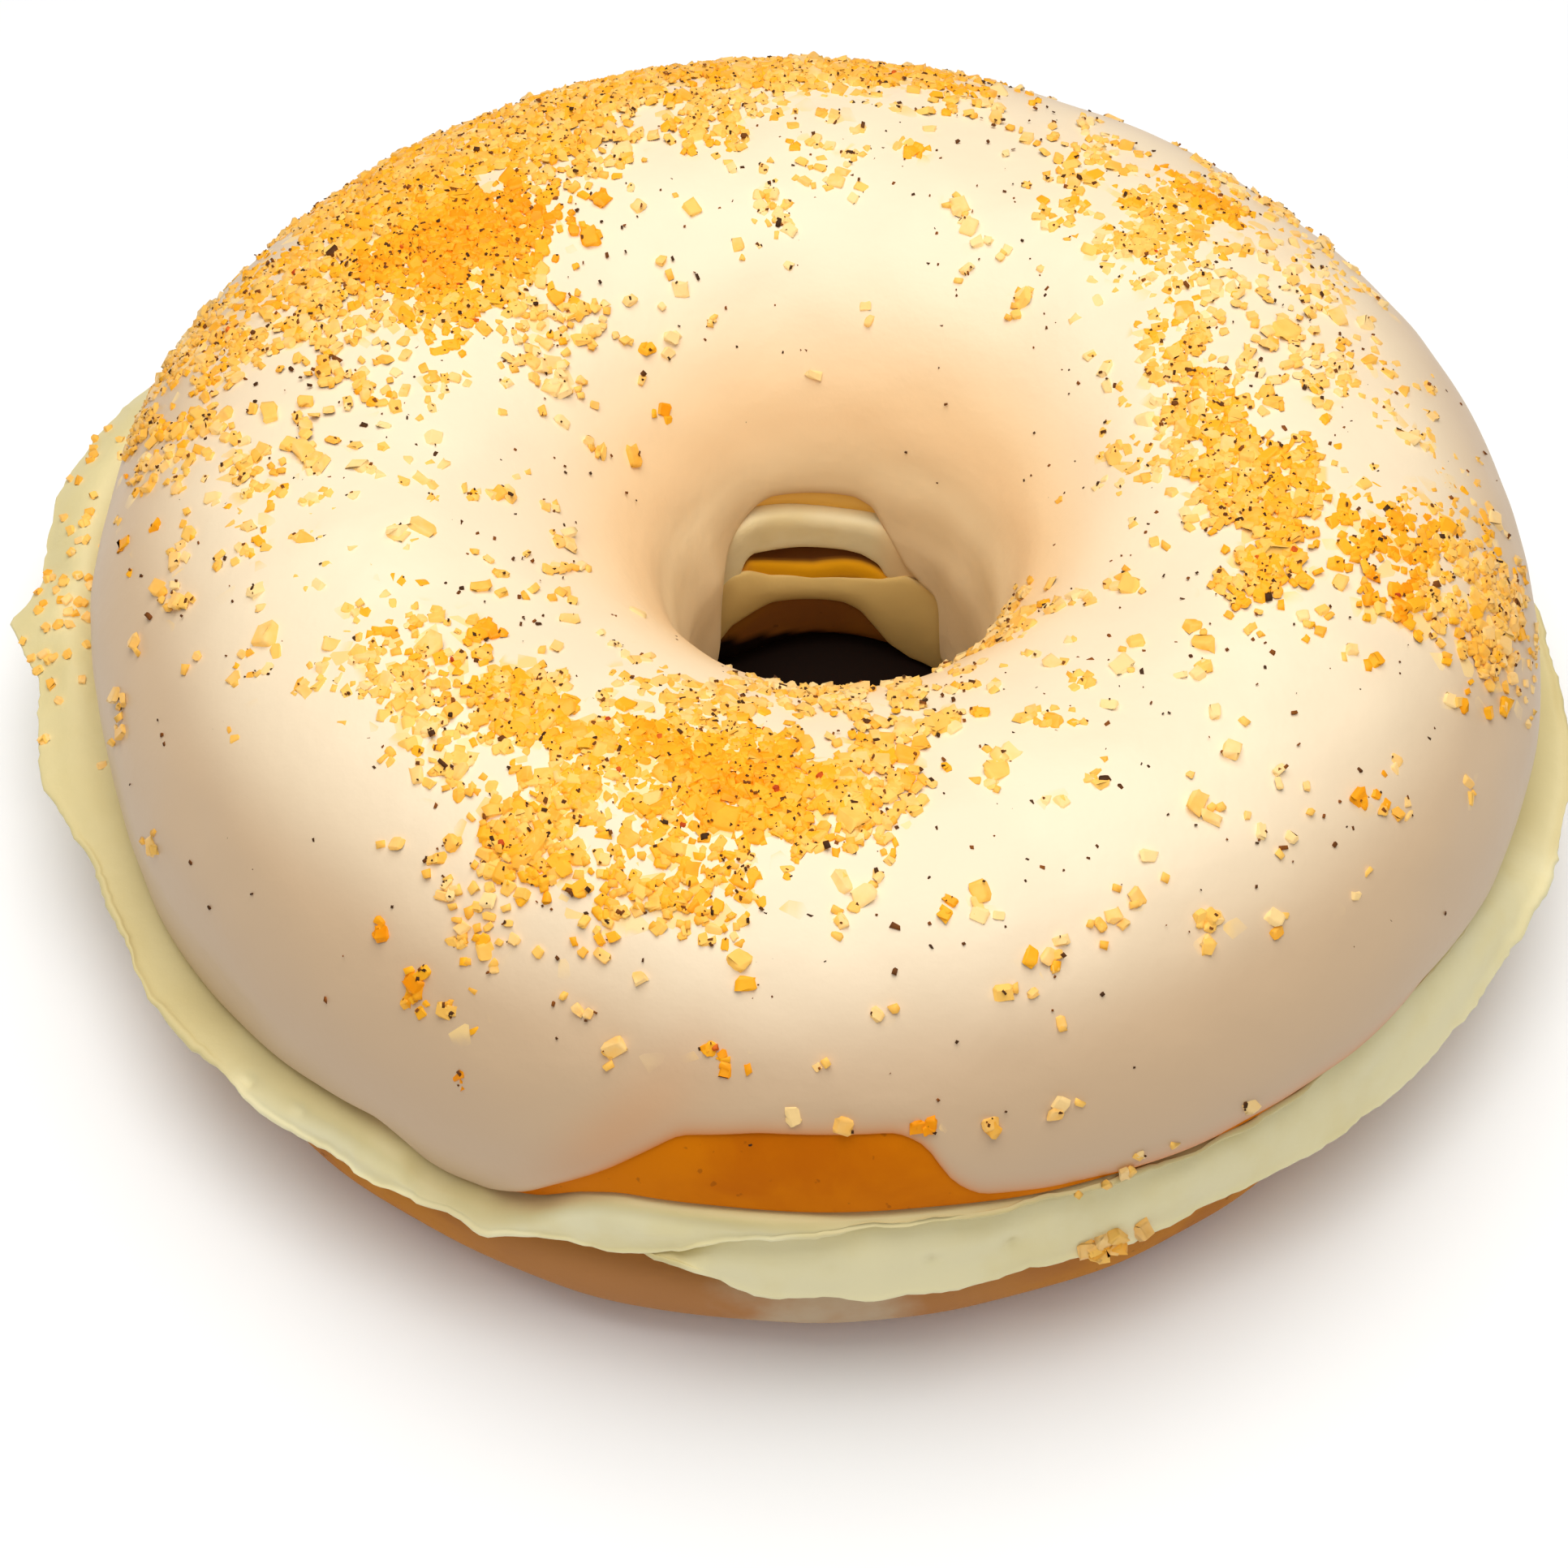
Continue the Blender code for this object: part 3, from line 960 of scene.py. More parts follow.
@dataclass
class Cream:
    """The cream: an upper spread whose lip shows at the left and in front, and a lower one."""

    form: RingForm
    edges: Edges
    stations: int = 640
    floor_z: float = 8.7
    root_r: float = 46.5
    hole_r: EdgeLine = EdgeLine((
        (-180, 11.5), (50, 11.5), (60, 10.3), (66, 10.05), (124, 10.0), (132, 10.4), (142, 11.2),
    ), 2.0)
    lip_r: EdgeLine = EdgeLine((
        (-178.6, 51.6), (-176, 50.4), (-171, 50.2), (-166, 50.2), (-163, 49.2), (-157, 48.1), (-151, 48.2),
        (-144, 48.7), (-137, 48.15), (-131, 48.3), (-127, 47.75), (-122, 48.0), (-116, 47.5),
        (-112.6, 48.0), (-111.6, 47.4), (-107, 47.3), (-103.8, 47.35), (-99.4, 47.3), (-92, 47.25),
        (-84, 47.1), (-60, 47.1), (-45, 46.9), (-20, 46.4), (20, 46.3), (120, 46.3), (132, 47.2),
        (142, 49.2), (151, 51.2), (159, 52.5), (167, 52.8), (171, 52.1), (175, 51.6), (177.2, 51.9),
        (178.8, 53.1), (179.6, 52.3),
    ), 0.4)
    lip_z: EdgeLine = EdgeLine((
        (-180, 10.6), (-150, 10.2), (-112.6, 10.2), (-110.6, 10.6), (-107, 11.5), (-105, 11.2),
        (-103.8, 11.4), (-102.5, 12.0), (-99.4, 12.9), (-97.1, 14.1), (-93.9, 15.1), (-88.7, 15.8),
        (-84.9, 16.0), (-75, 16.2), (-60, 15.7), (-46, 16.2), (-36, 15.6), (-20, 11.6), (20, 10.9),
        (120, 11.2), (150, 11.4), (165, 11.6),
    ), 0.5)
    bead: EdgeLine = EdgeLine((
        (-180, 1.3), (-172, 0.5), (-160, 0.0), (130, 0.0), (142, 0.8), (155, 2.0), (170, 2.1),
    ), 3.0)
    low_lip_r: EdgeLine = EdgeLine((
        (-180, 45.0), (-110, 45.0), (-104, 45.6), (-102, 47.0), (-100.6, 47.6), (-98.8, 47.7), (-97.2, 47.8),
        (-95.6, 47.8), (-93, 48.1), (-90, 48.15), (-85.6, 48.35), (-84.3, 48.1), (-80, 48.0), (-71, 48.0),
        (-67, 47.9), (-64.5, 48.25), (-62, 47.8), (-57, 48.1), (-49.6, 48.5), (-42, 48.75), (-34, 49.0),
        (-28, 49.4), (-22, 49.7), (-12, 49.7), (-7, 49.25), (-3, 48.7), (12, 48.4), (40, 48.9), (70, 49.2),
        (100, 48.6), (118, 48.7), (135, 48.9), (146, 49.2), (155, 46.0),
    ), 0.5)
    low_lip_z: EdgeLine = EdgeLine((
        (-180, 9.4), (-104, 11.6), (-101, 12.1), (-98.8, 12.2), (-97.2, 11.5), (-95.6, 10.2), (-88, 10.1),
        (-60, 10.2), (-20, 10.4), (40, 10.3), (140, 10.2),
    ), 0.6)
    slot_top: EdgeLine = EdgeLine((
        (-180, 8.0), (60, 8.0), (66, 7.9), (68.6, 8.0), (70.3, 8.6), (72.1, 9.0), (78.7, 9.65), (85.1, 9.95),
        (97.8, 10.3), (114.2, 10.85), (121.3, 11.1), (123.5, 10.9), (125.2, 10.5), (127, 9.5), (129, 8.4),
        (134, 8.0),
    ), 0.5)
    pits: tuple[Pit, ...] = (
        Pit(-82.0, 47.6, 12.4, 0.45, 0.45), Pit(-76.5, 47.5, 12.6, 0.5, 0.5),
        Pit(-134.0, 47.6, 10.6, 0.5, 0.4), Pit(-129.0, 47.2, 11.4, 0.35, 0.35),
        Pit(-89.0, 47.7, 12.2, 0.5, 0.25), Pit(-65.0, 47.5, 12.8, 0.4, 0.35),
        Pit(-47.0, 47.9, 12.6, 0.45, 0.35), Pit(-118.0, 46.9, 12.0, 0.4, 0.3),
        Pit(-152.0, 47.3, 10.6, 0.4, 0.35),
    )

    def crease(self, phi: np.ndarray) -> np.ndarray:
        """Height at which the cream comes out from under dough and icing."""
        return np.minimum(self.edges.dough.at(phi), self.edges.icing.at(phi) + 0.2) - 0.12

    def upper_grid(self) -> np.ndarray:
        """Upper spread: its wall in the hole with the slot's roof, and outside a face and a thin lip.

        Returns:
            The (stations, points, 3) grid.
        """
        phi = angles_round(self.stations)
        crease = self.crease(phi)
        lip_r = self.lip_r.at(phi) + self.ragged(phi, 21)
        lip_z = self.lip_z.at(phi)
        bead = self.bead.at(phi)
        wall = self.hole_r.at(phi)
        roof = self.slot_top.at(phi)
        top = self.edges.arch.at(phi)
        reach = lip_r - self.root_r
        rise = crease - lip_z
        corners = [
            (wall + 1.4, top + 0.1), (wall + 0.3, top), (wall, top - 0.6),
            (wall, 0.5 * (top + roof)), (wall + 0.02, roof + 0.3), (wall + 0.25, roof),
            (wall + 1.6, roof + 0.15), (wall + 4.0, self.floor_z), (40.0 + 0.0 * phi, self.floor_z),
            (lip_r - 3.2, np.minimum(lip_z - 1.3, crease - 0.9)), (lip_r - 1.2, lip_z - 0.75),
            (lip_r - 0.35, lip_z - 0.42), (lip_r, lip_z - 0.18), (lip_r + 0.02, lip_z + 0.02),
            (lip_r - 0.25, lip_z + 0.12), (lip_r - 0.25 * reach, lip_z + 0.4 * rise + 0.5 * bead),
            (lip_r - 0.55 * reach, lip_z + 0.72 * rise + bead),
            (lip_r - 0.8 * reach, lip_z + 0.93 * rise + 0.7 * bead),
            (46.2 + 0.0 * phi, crease), (45.2 + 0.0 * phi, crease), (42.0 + 0.0 * phi, crease),
            (35.9 + 0.0 * phi, 0.5 * (13.6 + crease)), (20.0 + 0.0 * phi, 13.5),
        ]
        return self.finished(phi, rounded(profile(corners)), 31)

    def lower_grid(self) -> np.ndarray:
        """Lower spread: a flared face from well under the upper lip down to its own thin lip.

        Returns:
            The (stations, points, 3) grid.
        """
        phi = angles_round(self.stations)
        lip_r = self.low_lip_r.at(phi) + self.ragged(phi, 22)
        lip_z = self.low_lip_z.at(phi)
        top = np.maximum(self.lip_z.at(phi) - 1.0, lip_z + 0.3)
        root = np.minimum(46.0, lip_r - 0.4)
        corners = [
            (root - 4.5, lip_z - 1.3), (lip_r - 2.4, lip_z - 1.25), (lip_r - 0.9, lip_z - 0.7),
            (lip_r - 0.25, lip_z - 0.38), (lip_r, lip_z - 0.15), (lip_r + 0.02, lip_z + 0.05),
            (lip_r - 0.15, lip_z + 0.25),
        ]
        for share in (0.2, 0.4, 0.6, 0.8):
            bow = 0.45 * math.sin(math.pi * share)
            corners.append((lip_r - (lip_r - root) * share**0.8 + bow, lip_z + (top - lip_z) * share))
        corners += [(root, top), (root - 1.5, top + 0.1), (root - 4.0, top - 0.6)]
        return self.finished(phi, rounded(profile(corners)), 32)

    def dress(self, name: str, grid: np.ndarray) -> bpy.types.Object:
        """Mesh of a spread, in cream, with its values for the finish.

        `root` is painted shade: it rises over the last millimetre to what covers and shades it, and lies
        faintly on the front and the left; `blush` is painted warm light in the hole.

        Args:
            name: the piece's name.
            grid: its (stations, points, 3) grid.

        Returns:
            The dressed piece.
        """
        piece = ring_mesh(name, grid)
        phi = angles_round(self.stations)
        radius = self.form.radius_of(grid)
        # Painted shade: olive over the last millimetre under what covers the cream, and faintly on the front
        # and the left.
        cover = self.crease(phi) if name == "cream_layer" else self.lip_z.at(phi) - 0.7
        near = step_up(grid[..., 2] - cover, -1.1, 0.1)
        side = 0.15 * plateau(phi, -145.0, 24.0, 12.0) + 0.30 * plateau(phi, -50.0, 52.0, 30.0)
        inside = 1.0 - step_up(radius, 20.0, 22.0)
        set_attributes(
            piece,
            root=step_up(radius, 43.0, 45.0) * np.clip(0.75 * near + side, 0.0, 1.0),
            # `blush` is painted warm light in the hole, as on the icing there.
            blush=inside * np.maximum(0.25, plateau(phi, 56.0, 15.0, 14.0)),
        )
        piece.data.materials.append(CreamFinish().material())
        return piece

    def ragged(self, phi: np.ndarray, seed: int) -> np.ndarray:
        """Fine raggedness of a lip: waves of 2 and 0.9 mm along it, only outward now and then."""
        ring = np.concatenate([48.0 * np.cos(phi), 48.0 * np.sin(phi), 0 * phi], axis=1)
        return (0.10 * waves(ring, 3.0, seed) + 0.08 * waves(ring, 1.1, seed + 50))[:, None]

    def finished(self, phi: np.ndarray, section: np.ndarray, seed: int) -> np.ndarray:
        """Place a section round the ring and add spatula streaks and pits.

        A pit sinks the face by depth exp(-(distance / width)^2).

        Args:
            phi: the stations' angles, as a column.
            section: (stations, points, 2) radii and heights.
            seed: seed of the streaks.

        Returns:
            The (stations, points, 3) grid.
        """
        grid = self.form.spot(section[..., 0], section[..., 1], phi)
        outside = step_up(section[..., 0], 44.5, 46.5)
        streaks = 0.10 * waves(grid, 2.2, seed, (4, 4, 1)) + 0.07 * waves(grid, 5.0, seed + 1)
        lift = outside * streaks + (1.0 - outside) * 0.04 * waves(grid, 4.0, seed + 2)
        for pit in self.pits:
            turn = np.array(math.radians(pit.phi))
            centre = self.form.spot(np.array(pit.radius), np.array(pit.height), turn)
            away = np.linalg.norm(grid - centre, axis=-1)
            lift = lift - pit.depth * np.exp(-((away / pit.width) ** 2))
        return grid + outward_normals(grid) * lift[..., None]


@dataclass
class BottomDough:
    """Lower half of the dough: flat base, round belly, and the sloping cut that shows in the slot."""

    drift_r: float = 12.0
    centre: tuple[float, float] = (0.9, -3.2)
    hole_centre: tuple[float, float] = (2.72, -2.19)
    width: float = 32.0
    stations: int = 420
    wall: EdgeLine = EdgeLine((
        (-180, 12.0), (34, 12.0), (40, 11.0), (46, 10.5), (52, 10.4), (64, 10.05), (70, 10.0), (122, 10.0),
        (131, 10.3), (145, 12.0),
    ), 2.0)
    cut: EdgeLine = EdgeLine((
        (-180, 8.3), (62, 8.2), (69, 8.2), (73, 8.6), (79, 8.9), (85, 8.9), (97, 8.6), (104, 8.9), (111, 9.4),
        (123, 10.5), (128, 9.6), (134, 8.3),
    ), 1.0)
    shade: EdgeLine = EdgeLine((
        (-180, 3.0), (50, 0.0), (60, 0.2), (71, 1.0), (84, 1.3), (104, 2.1), (122, 3.0), (136, 3.8),
        (150, 4.0),
    ), 2.0)

    def spot(self, radius: np.ndarray, height: np.ndarray, phi: np.ndarray) -> np.ndarray:
        """Points whose centre drifts from the hole's to the belly's as the radius grows.

        Args:
            radius: distance from the local centre.
            height: height over the floor.
            phi: angle round the ring, in radians.

        Returns:
            Array with a last axis of three.
        """
        outward = np.clip((radius - self.drift_r) / self.width, 0.0, 1.0)
        x = self.hole_centre[0] + outward * (self.centre[0] - self.hole_centre[0]) + radius * np.cos(phi)
        y = self.hole_centre[1] + outward * (self.centre[1] - self.hole_centre[1]) + radius * np.sin(phi)
        return np.stack(np.broadcast_arrays(x, y, height), axis=-1)

    def build(self) -> bpy.types.Object:
        """Rounded section round the hole; its top rises behind the slot.

        Returns:
            The piece, dressed with `char`, `black` and `strip` in the hole, all or partly painted shade and
            light, and with `tan` and `glaze` outside.
        """
        phi = angles_round(self.stations)
        wall = self.wall.at(phi)
        cut = self.cut.at(phi)
        slope = plateau(phi, 97.0, 32.0, 8.0)
        none = 0.0 * phi
        section = rounded(profile([
            (none + 16.0, none), (none + 26.0, none), (none + 36.5, none), (none + 39.8, 0.45),
            (none + 42.4, 1.9), (none + 43.7, 3.9), (none + 44.0, 6.0), (none + 43.8, 7.8),
            (none + 42.8, 8.5), (none + 30.0, 8.5), (wall + 5.0, 8.5), (wall + 3.0, cut + 1.9 * slope),
            (wall + 1.6, cut + 1.0 * slope), (wall + 0.6, cut + 0.25 * slope), (wall + 0.1, cut - 0.1),
            (wall, cut - 0.9), (wall, 3.4), (wall + 0.15, 1.2), (wall + 1.4, 0.3),
        ]))
        radius = section[..., 0]
        height = section[..., 1]
        grid = self.spot(radius, height, phi)
        base = step_up(height, 0.2, 2.0)
        grid = grid + grid_normals(grid) * (0.10 * base * waves(grid, 9.0, 41))[..., None]
        piece = ring_mesh("bottom_dough", grid)
        inside = 1.0 - step_up(radius, wall + 3.0, wall + 5.0)
        # Painted shade: the slot's inside dark; below the cut, a darker crust that is partly painted shade.
        slot = step_up(radius - wall, 0.12, 0.5) * step_up(height - cut, -0.3, 0.1)
        crust = step_up(cut - height, 0.9, 1.5)
        outer = step_up(radius, 40.0, 43.0)
        # Painted shadow: near black on the wall's foot in the hole, below this line.
        line = self.shade.at(phi)
        # Painted light: the cut's golden edge in the arch, brighter where light falls on it.
        lit = plateau(phi, 96.0, 28.0, 6.0) * (1.0 - slot) * (1.0 - crust)
        set_attributes(
            piece,
            char=inside * np.maximum(0.88 * slot, 0.62 * crust),
            black=inside * (1.0 - step_up(height, line - 0.3, line + 0.1)),
            strip=inside * lit,
            tan=outer * plateau(phi, -95.0, 21.0, 12.0),
            glaze=outer * plateau(phi, -89.0, 6.5, 9.0) * step_up(height, 0.5, 3.5),
        )
        finish = LowerDoughFinish(
            "bottom_dough",
            golden=(0.60, 0.235, 0.03),
            brown=(0.47, 0.17, 0.035),
            deep=(0.085, 0.024, 0.006),
        )
        piece.data.materials.append(finish.material())
        return piece


@dataclass
class HoleGlaze:
    """Glaze that ran down the lower half's wall in the hole, and left an arch of dough bare."""

    dough: BottomDough
    tint: Colour = (0.84, 0.60, 0.22)
    stations: int = 360
    top: EdgeLine = EdgeLine((
        (-180, 6.0), (34, 6.0), (42, 7.6), (52, 8.3), (60, 8.7), (63, 8.5), (66, 8.2), (69, 7.9), (82, 7.55),
        (97.7, 7.65), (114.3, 8.55), (123.2, 9.8), (130, 9.9), (140, 8.6), (150, 6.0),
    ), 1.0)
    low: EdgeLine = EdgeLine((
        (-180, 2.0), (-90, 3.0), (40, 0.5), (57, 0.5), (65.7, 1.4), (71.1, 2.7), (78, 4.3), (84.6, 4.95),
        (97.6, 5.3), (114.4, 5.9), (121.6, 5.6), (131.6, 4.9), (138, 2.6), (146, 1.0),
    ), 1.0)

    def build(self) -> bpy.types.Object:
        """Thin rounded band on the wall, thickest in its middle: 0.10 + 0.28 sin(pi share).

        Returns:
            The dressed piece.
        """
        phi = angles_round(self.stations)
        wall = self.dough.wall.at(phi)
        top = self.top.at(phi)
        low = self.low.at(phi)
        corners = [(wall + 0.4, top), (wall - 0.02, top + 0.05)]
        for share in (0.15, 0.4, 0.65, 0.9):
            thick = 0.10 + 0.28 * math.sin(math.pi * share)
            corners.append((wall - thick, top + (low - top) * share))
        corners += [(wall - 0.02, low - 0.05), (wall + 0.4, low), (wall + 0.4, 0.5 * (top + low))]
        section = rounded(profile(corners))
        grid = self.dough.spot(section[..., 0], section[..., 1], phi)
        grid = grid + grid_normals(grid) * (0.03 * waves(grid, 5.0, 51))[..., None]
        piece = ring_mesh("hole_glaze", grid)
        set_attributes(piece, veil=1.0, crater=1.0, thin=0.0, stain=0.0, heat=0.0)
        piece.data.materials.append(IcingFinish(peach=self.tint, deep=self.tint).material())
        return piece


@dataclass(frozen=True)
class Bed:
    """A bed of sugar: its middle, its spread both ways (degrees), how many crystals, how amber (0 to 1)."""

    phi: float
    lean: float
    along: float
    over: float
    count: int
    amber: float


BEDS: tuple[Bed, ...] = (
    Bed(-107, 98, 6, 8, 110, 0.65), Bed(-101, 92, 5, 7, 90, 1.0), Bed(-112, 84, 4, 5, 60, 0.5),
    Bed(-103, 72, 3, 5, 36, 0.6), Bed(-127, 93, 8, 6, 120, 0.45), Bed(-118, 72, 3.5, 8, 60, 0.45),
    Bed(-113, 62, 6, 5, 30, 0.4), Bed(-92, 86, 4, 4, 40, 0.5), Bed(-113, 114, 8, 5, 45, 0.35),
    Bed(-88, 100, 5, 8, 60, 0.45), Bed(-80, 100, 4, 7, 44, 0.35), Bed(-92, 128, 14, 9, 110, 0.2),
    Bed(-45, 142, 8, 6, 40, 0.25), Bed(-25, 155, 6, 4, 14, 0.2), Bed(-177, 72, 4, 6, 26, 0.3),
    Bed(-22, 92, 4, 4, 36, 0.45), Bed(-15, 93, 4, 5, 50, 0.5), Bed(-14, 67, 4, 7, 70, 0.7),
    Bed(-12, 50, 5, 7, 40, 0.35), Bed(-5, 104, 4, 6, 40, 0.4), Bed(-16, 44, 4, 7, 40, 0.4),
    Bed(-11, 33, 3, 6, 24, 0.25), Bed(-6, 88, 3, 4, 24, 0.5), Bed(-15, 30, 4, 9, 12, 0.1),
    Bed(5, 106, 7, 6, 50, 0.45), Bed(20, 104, 5, 6, 34, 0.4), Bed(11, 80, 7, 5, 26, 0.25),
    Bed(1, 63, 6, 5, 24, 0.25), Bed(21, 62, 7, 8, 34, 0.2), Bed(2, 124, 5, 5, 14, 0.25),
    Bed(31, 92, 4, 10, 20, 0.25), Bed(45, 84, 6, 8, 120, 0.4), Bed(44, 92, 4, 4, 40, 0.45),
    Bed(41, 70, 3, 4, 30, 0.75), Bed(41, 50, 6, 8, 30, 0.2), Bed(64, 68, 8, 6, 20, 0.2),
    Bed(83, 62, 6, 7, 90, 0.45), Bed(95, 62, 6, 8, 75, 0.4), Bed(105, 60, 6, 8, 60, 0.4),
    Bed(113, 58, 5, 7, 60, 0.4), Bed(99, 86, 4, 5, 30, 0.4),
    Bed(116, 82, 6, 7, 34, 0.3), Bed(122, 63, 6, 6, 50, 0.45), Bed(87, 97, 2, 4, 10, 0.2),
    Bed(98, 108, 1.5, 5, 12, 0.15), Bed(141, 87, 5, 7, 190, 1.0), Bed(146, 78, 6, 7, 90, 0.75),
    Bed(130, 76, 7, 7, 70, 0.5), Bed(136, 66, 6, 7, 70, 0.55), Bed(151, 97, 5, 6, 70, 0.5),
    Bed(146, 60, 9, 8, 120, 0.45), Bed(160, 72, 6, 9, 44, 0.3), Bed(168, 50, 7, 9, 80, 0.4),
    Bed(167, 31, 6, 8, 34, 0.3), Bed(142, 47, 9, 6, 90, 0.4), Bed(156, 40, 7, 8, 70, 0.35),
    Bed(122, 49, 9, 6, 80, 0.4), Bed(103, 48, 8, 6, 70, 0.4), Bed(84, 50, 8, 5, 50, 0.35),
    Bed(170, 86, 7, 8, 20, 0.3), Bed(145, 116, 9, 6, 22, 0.2),
    Bed(160, 112, 7, 8, 14, 0.15), Bed(-164, 60, 8, 14, 18, 0.25), Bed(-160, 105, 10, 14, 14, 0.25),
    Bed(-140, 88, 6, 6, 44, 0.45), Bed(-134, 76, 5, 5, 20, 0.35),
)

# Small clumps that the eye picks out: phi and lean of the middle, crystals, and how amber.
CLUMPS: tuple[tuple[float, float, int, float], ...] = (
    (-127, 90, 9, 0.95), (-121, 70, 8, 0.9), (-143, 101, 7, 0.9), (-155, 124, 5, 0.3), (-173, 128, 4, 0.2),
    (-172, 117, 4, 0.3), (-163, 101, 3, 0.3), (-175, 93, 4, 0.2), (-152, 83, 4, 0.3), (-151, 75, 3, 0.3),
    (-143, 76, 4, 0.4), (-147, 67, 5, 0.3), (-135, 85, 6, 0.4), (-166, 70, 5, 0.5), (-165, 80, 5, 0.3),
    (-164, 52, 5, 0.3), (-174, 46, 3, 1.0), (-175, 37, 3, 1.0), (-162.5, 27, 3, 0.2), (-159, 22, 2, 0.2),
    (-149, 15, 2, 0.2), (-125, 43.5, 6, 0.95), (-121, 33, 4, 0.4), (-120.5, 37, 5, 0.95), (-118, 35, 4, 0.4),
    (-115.5, 23, 3, 1.0), (-119, 49, 4, 0.3), (-116, 49, 3, 0.3), (-108, 44.5, 3, 0.2), (-105, 40, 3, 0.2),
    (-98, 41, 5, 0.9), (-99, 64, 4, 0.3), (-91, 31, 2, 0.0), (-83, 28, 5, 0.9), (-78, 27, 3, 0.4),
    (-74, 29, 3, 0.0), (-68.5, 8, 2, 0.0), (-60, 8, 2, 0.0), (-79.5, 70, 3, 0.8), (-87.5, 70, 2, 0.3),
    (-88, 74, 3, 0.3), (-76.5, 69, 2, 0.2), (-71.5, 57, 4, 0.3), (-65.5, 58, 4, 0.2), (-59, 50, 4, 0.3),
    (-54, 45, 3, 0.2), (-58, 54, 4, 0.2), (-75, 52, 3, 0.2), (-52, 106, 6, 0.5), (-63, 104, 4, 0.2),
    (-61, 100, 4, 0.2), (-68, 110, 4, 0.3), (-72, 112, 5, 0.3), (-66, 83, 3, 0.1), (-60.5, 84, 4, 0.3),
    (-41, 90, 4, 0.3), (-35.5, 97, 2, 0.3), (-47, 75, 3, 0.1), (-45, 67, 3, 0.1), (-39.5, 52, 5, 0.8),
    (-38, 44, 4, 0.3), (-36, 53, 3, 0.3), (-50, 63, 3, 0.2), (-19.5, 66.5, 3, 1.0), (-22, 33.5, 3, 0.9),
    (-31, 36, 3, 0.3), (-27, 50, 3, 0.2), (-30, 120, 6, 0.2), (-37, 131, 5, 0.2), (-33, 127, 4, 0.2),
    (45, 98, 6, 0.3), (53, 100, 3, 0.2), (57, 112, 2, 0.1), (50, 118, 4, 0.3), (77, 91, 5, 0.8),
    (69, 105, 3, 0.1), (63, 117, 3, 0.1), (85, 86, 4, 0.2), (107, 116, 3, 0.3), (123, 93, 6, 0.8),
    (128, 102, 5, 0.8), (121, 75, 4, 0.3), (127, 131, 3, 0.0), (140, 142, 3, 0.8), (162, 136, 3, 0.2),
    (178, 50, 4, 0.4),
)


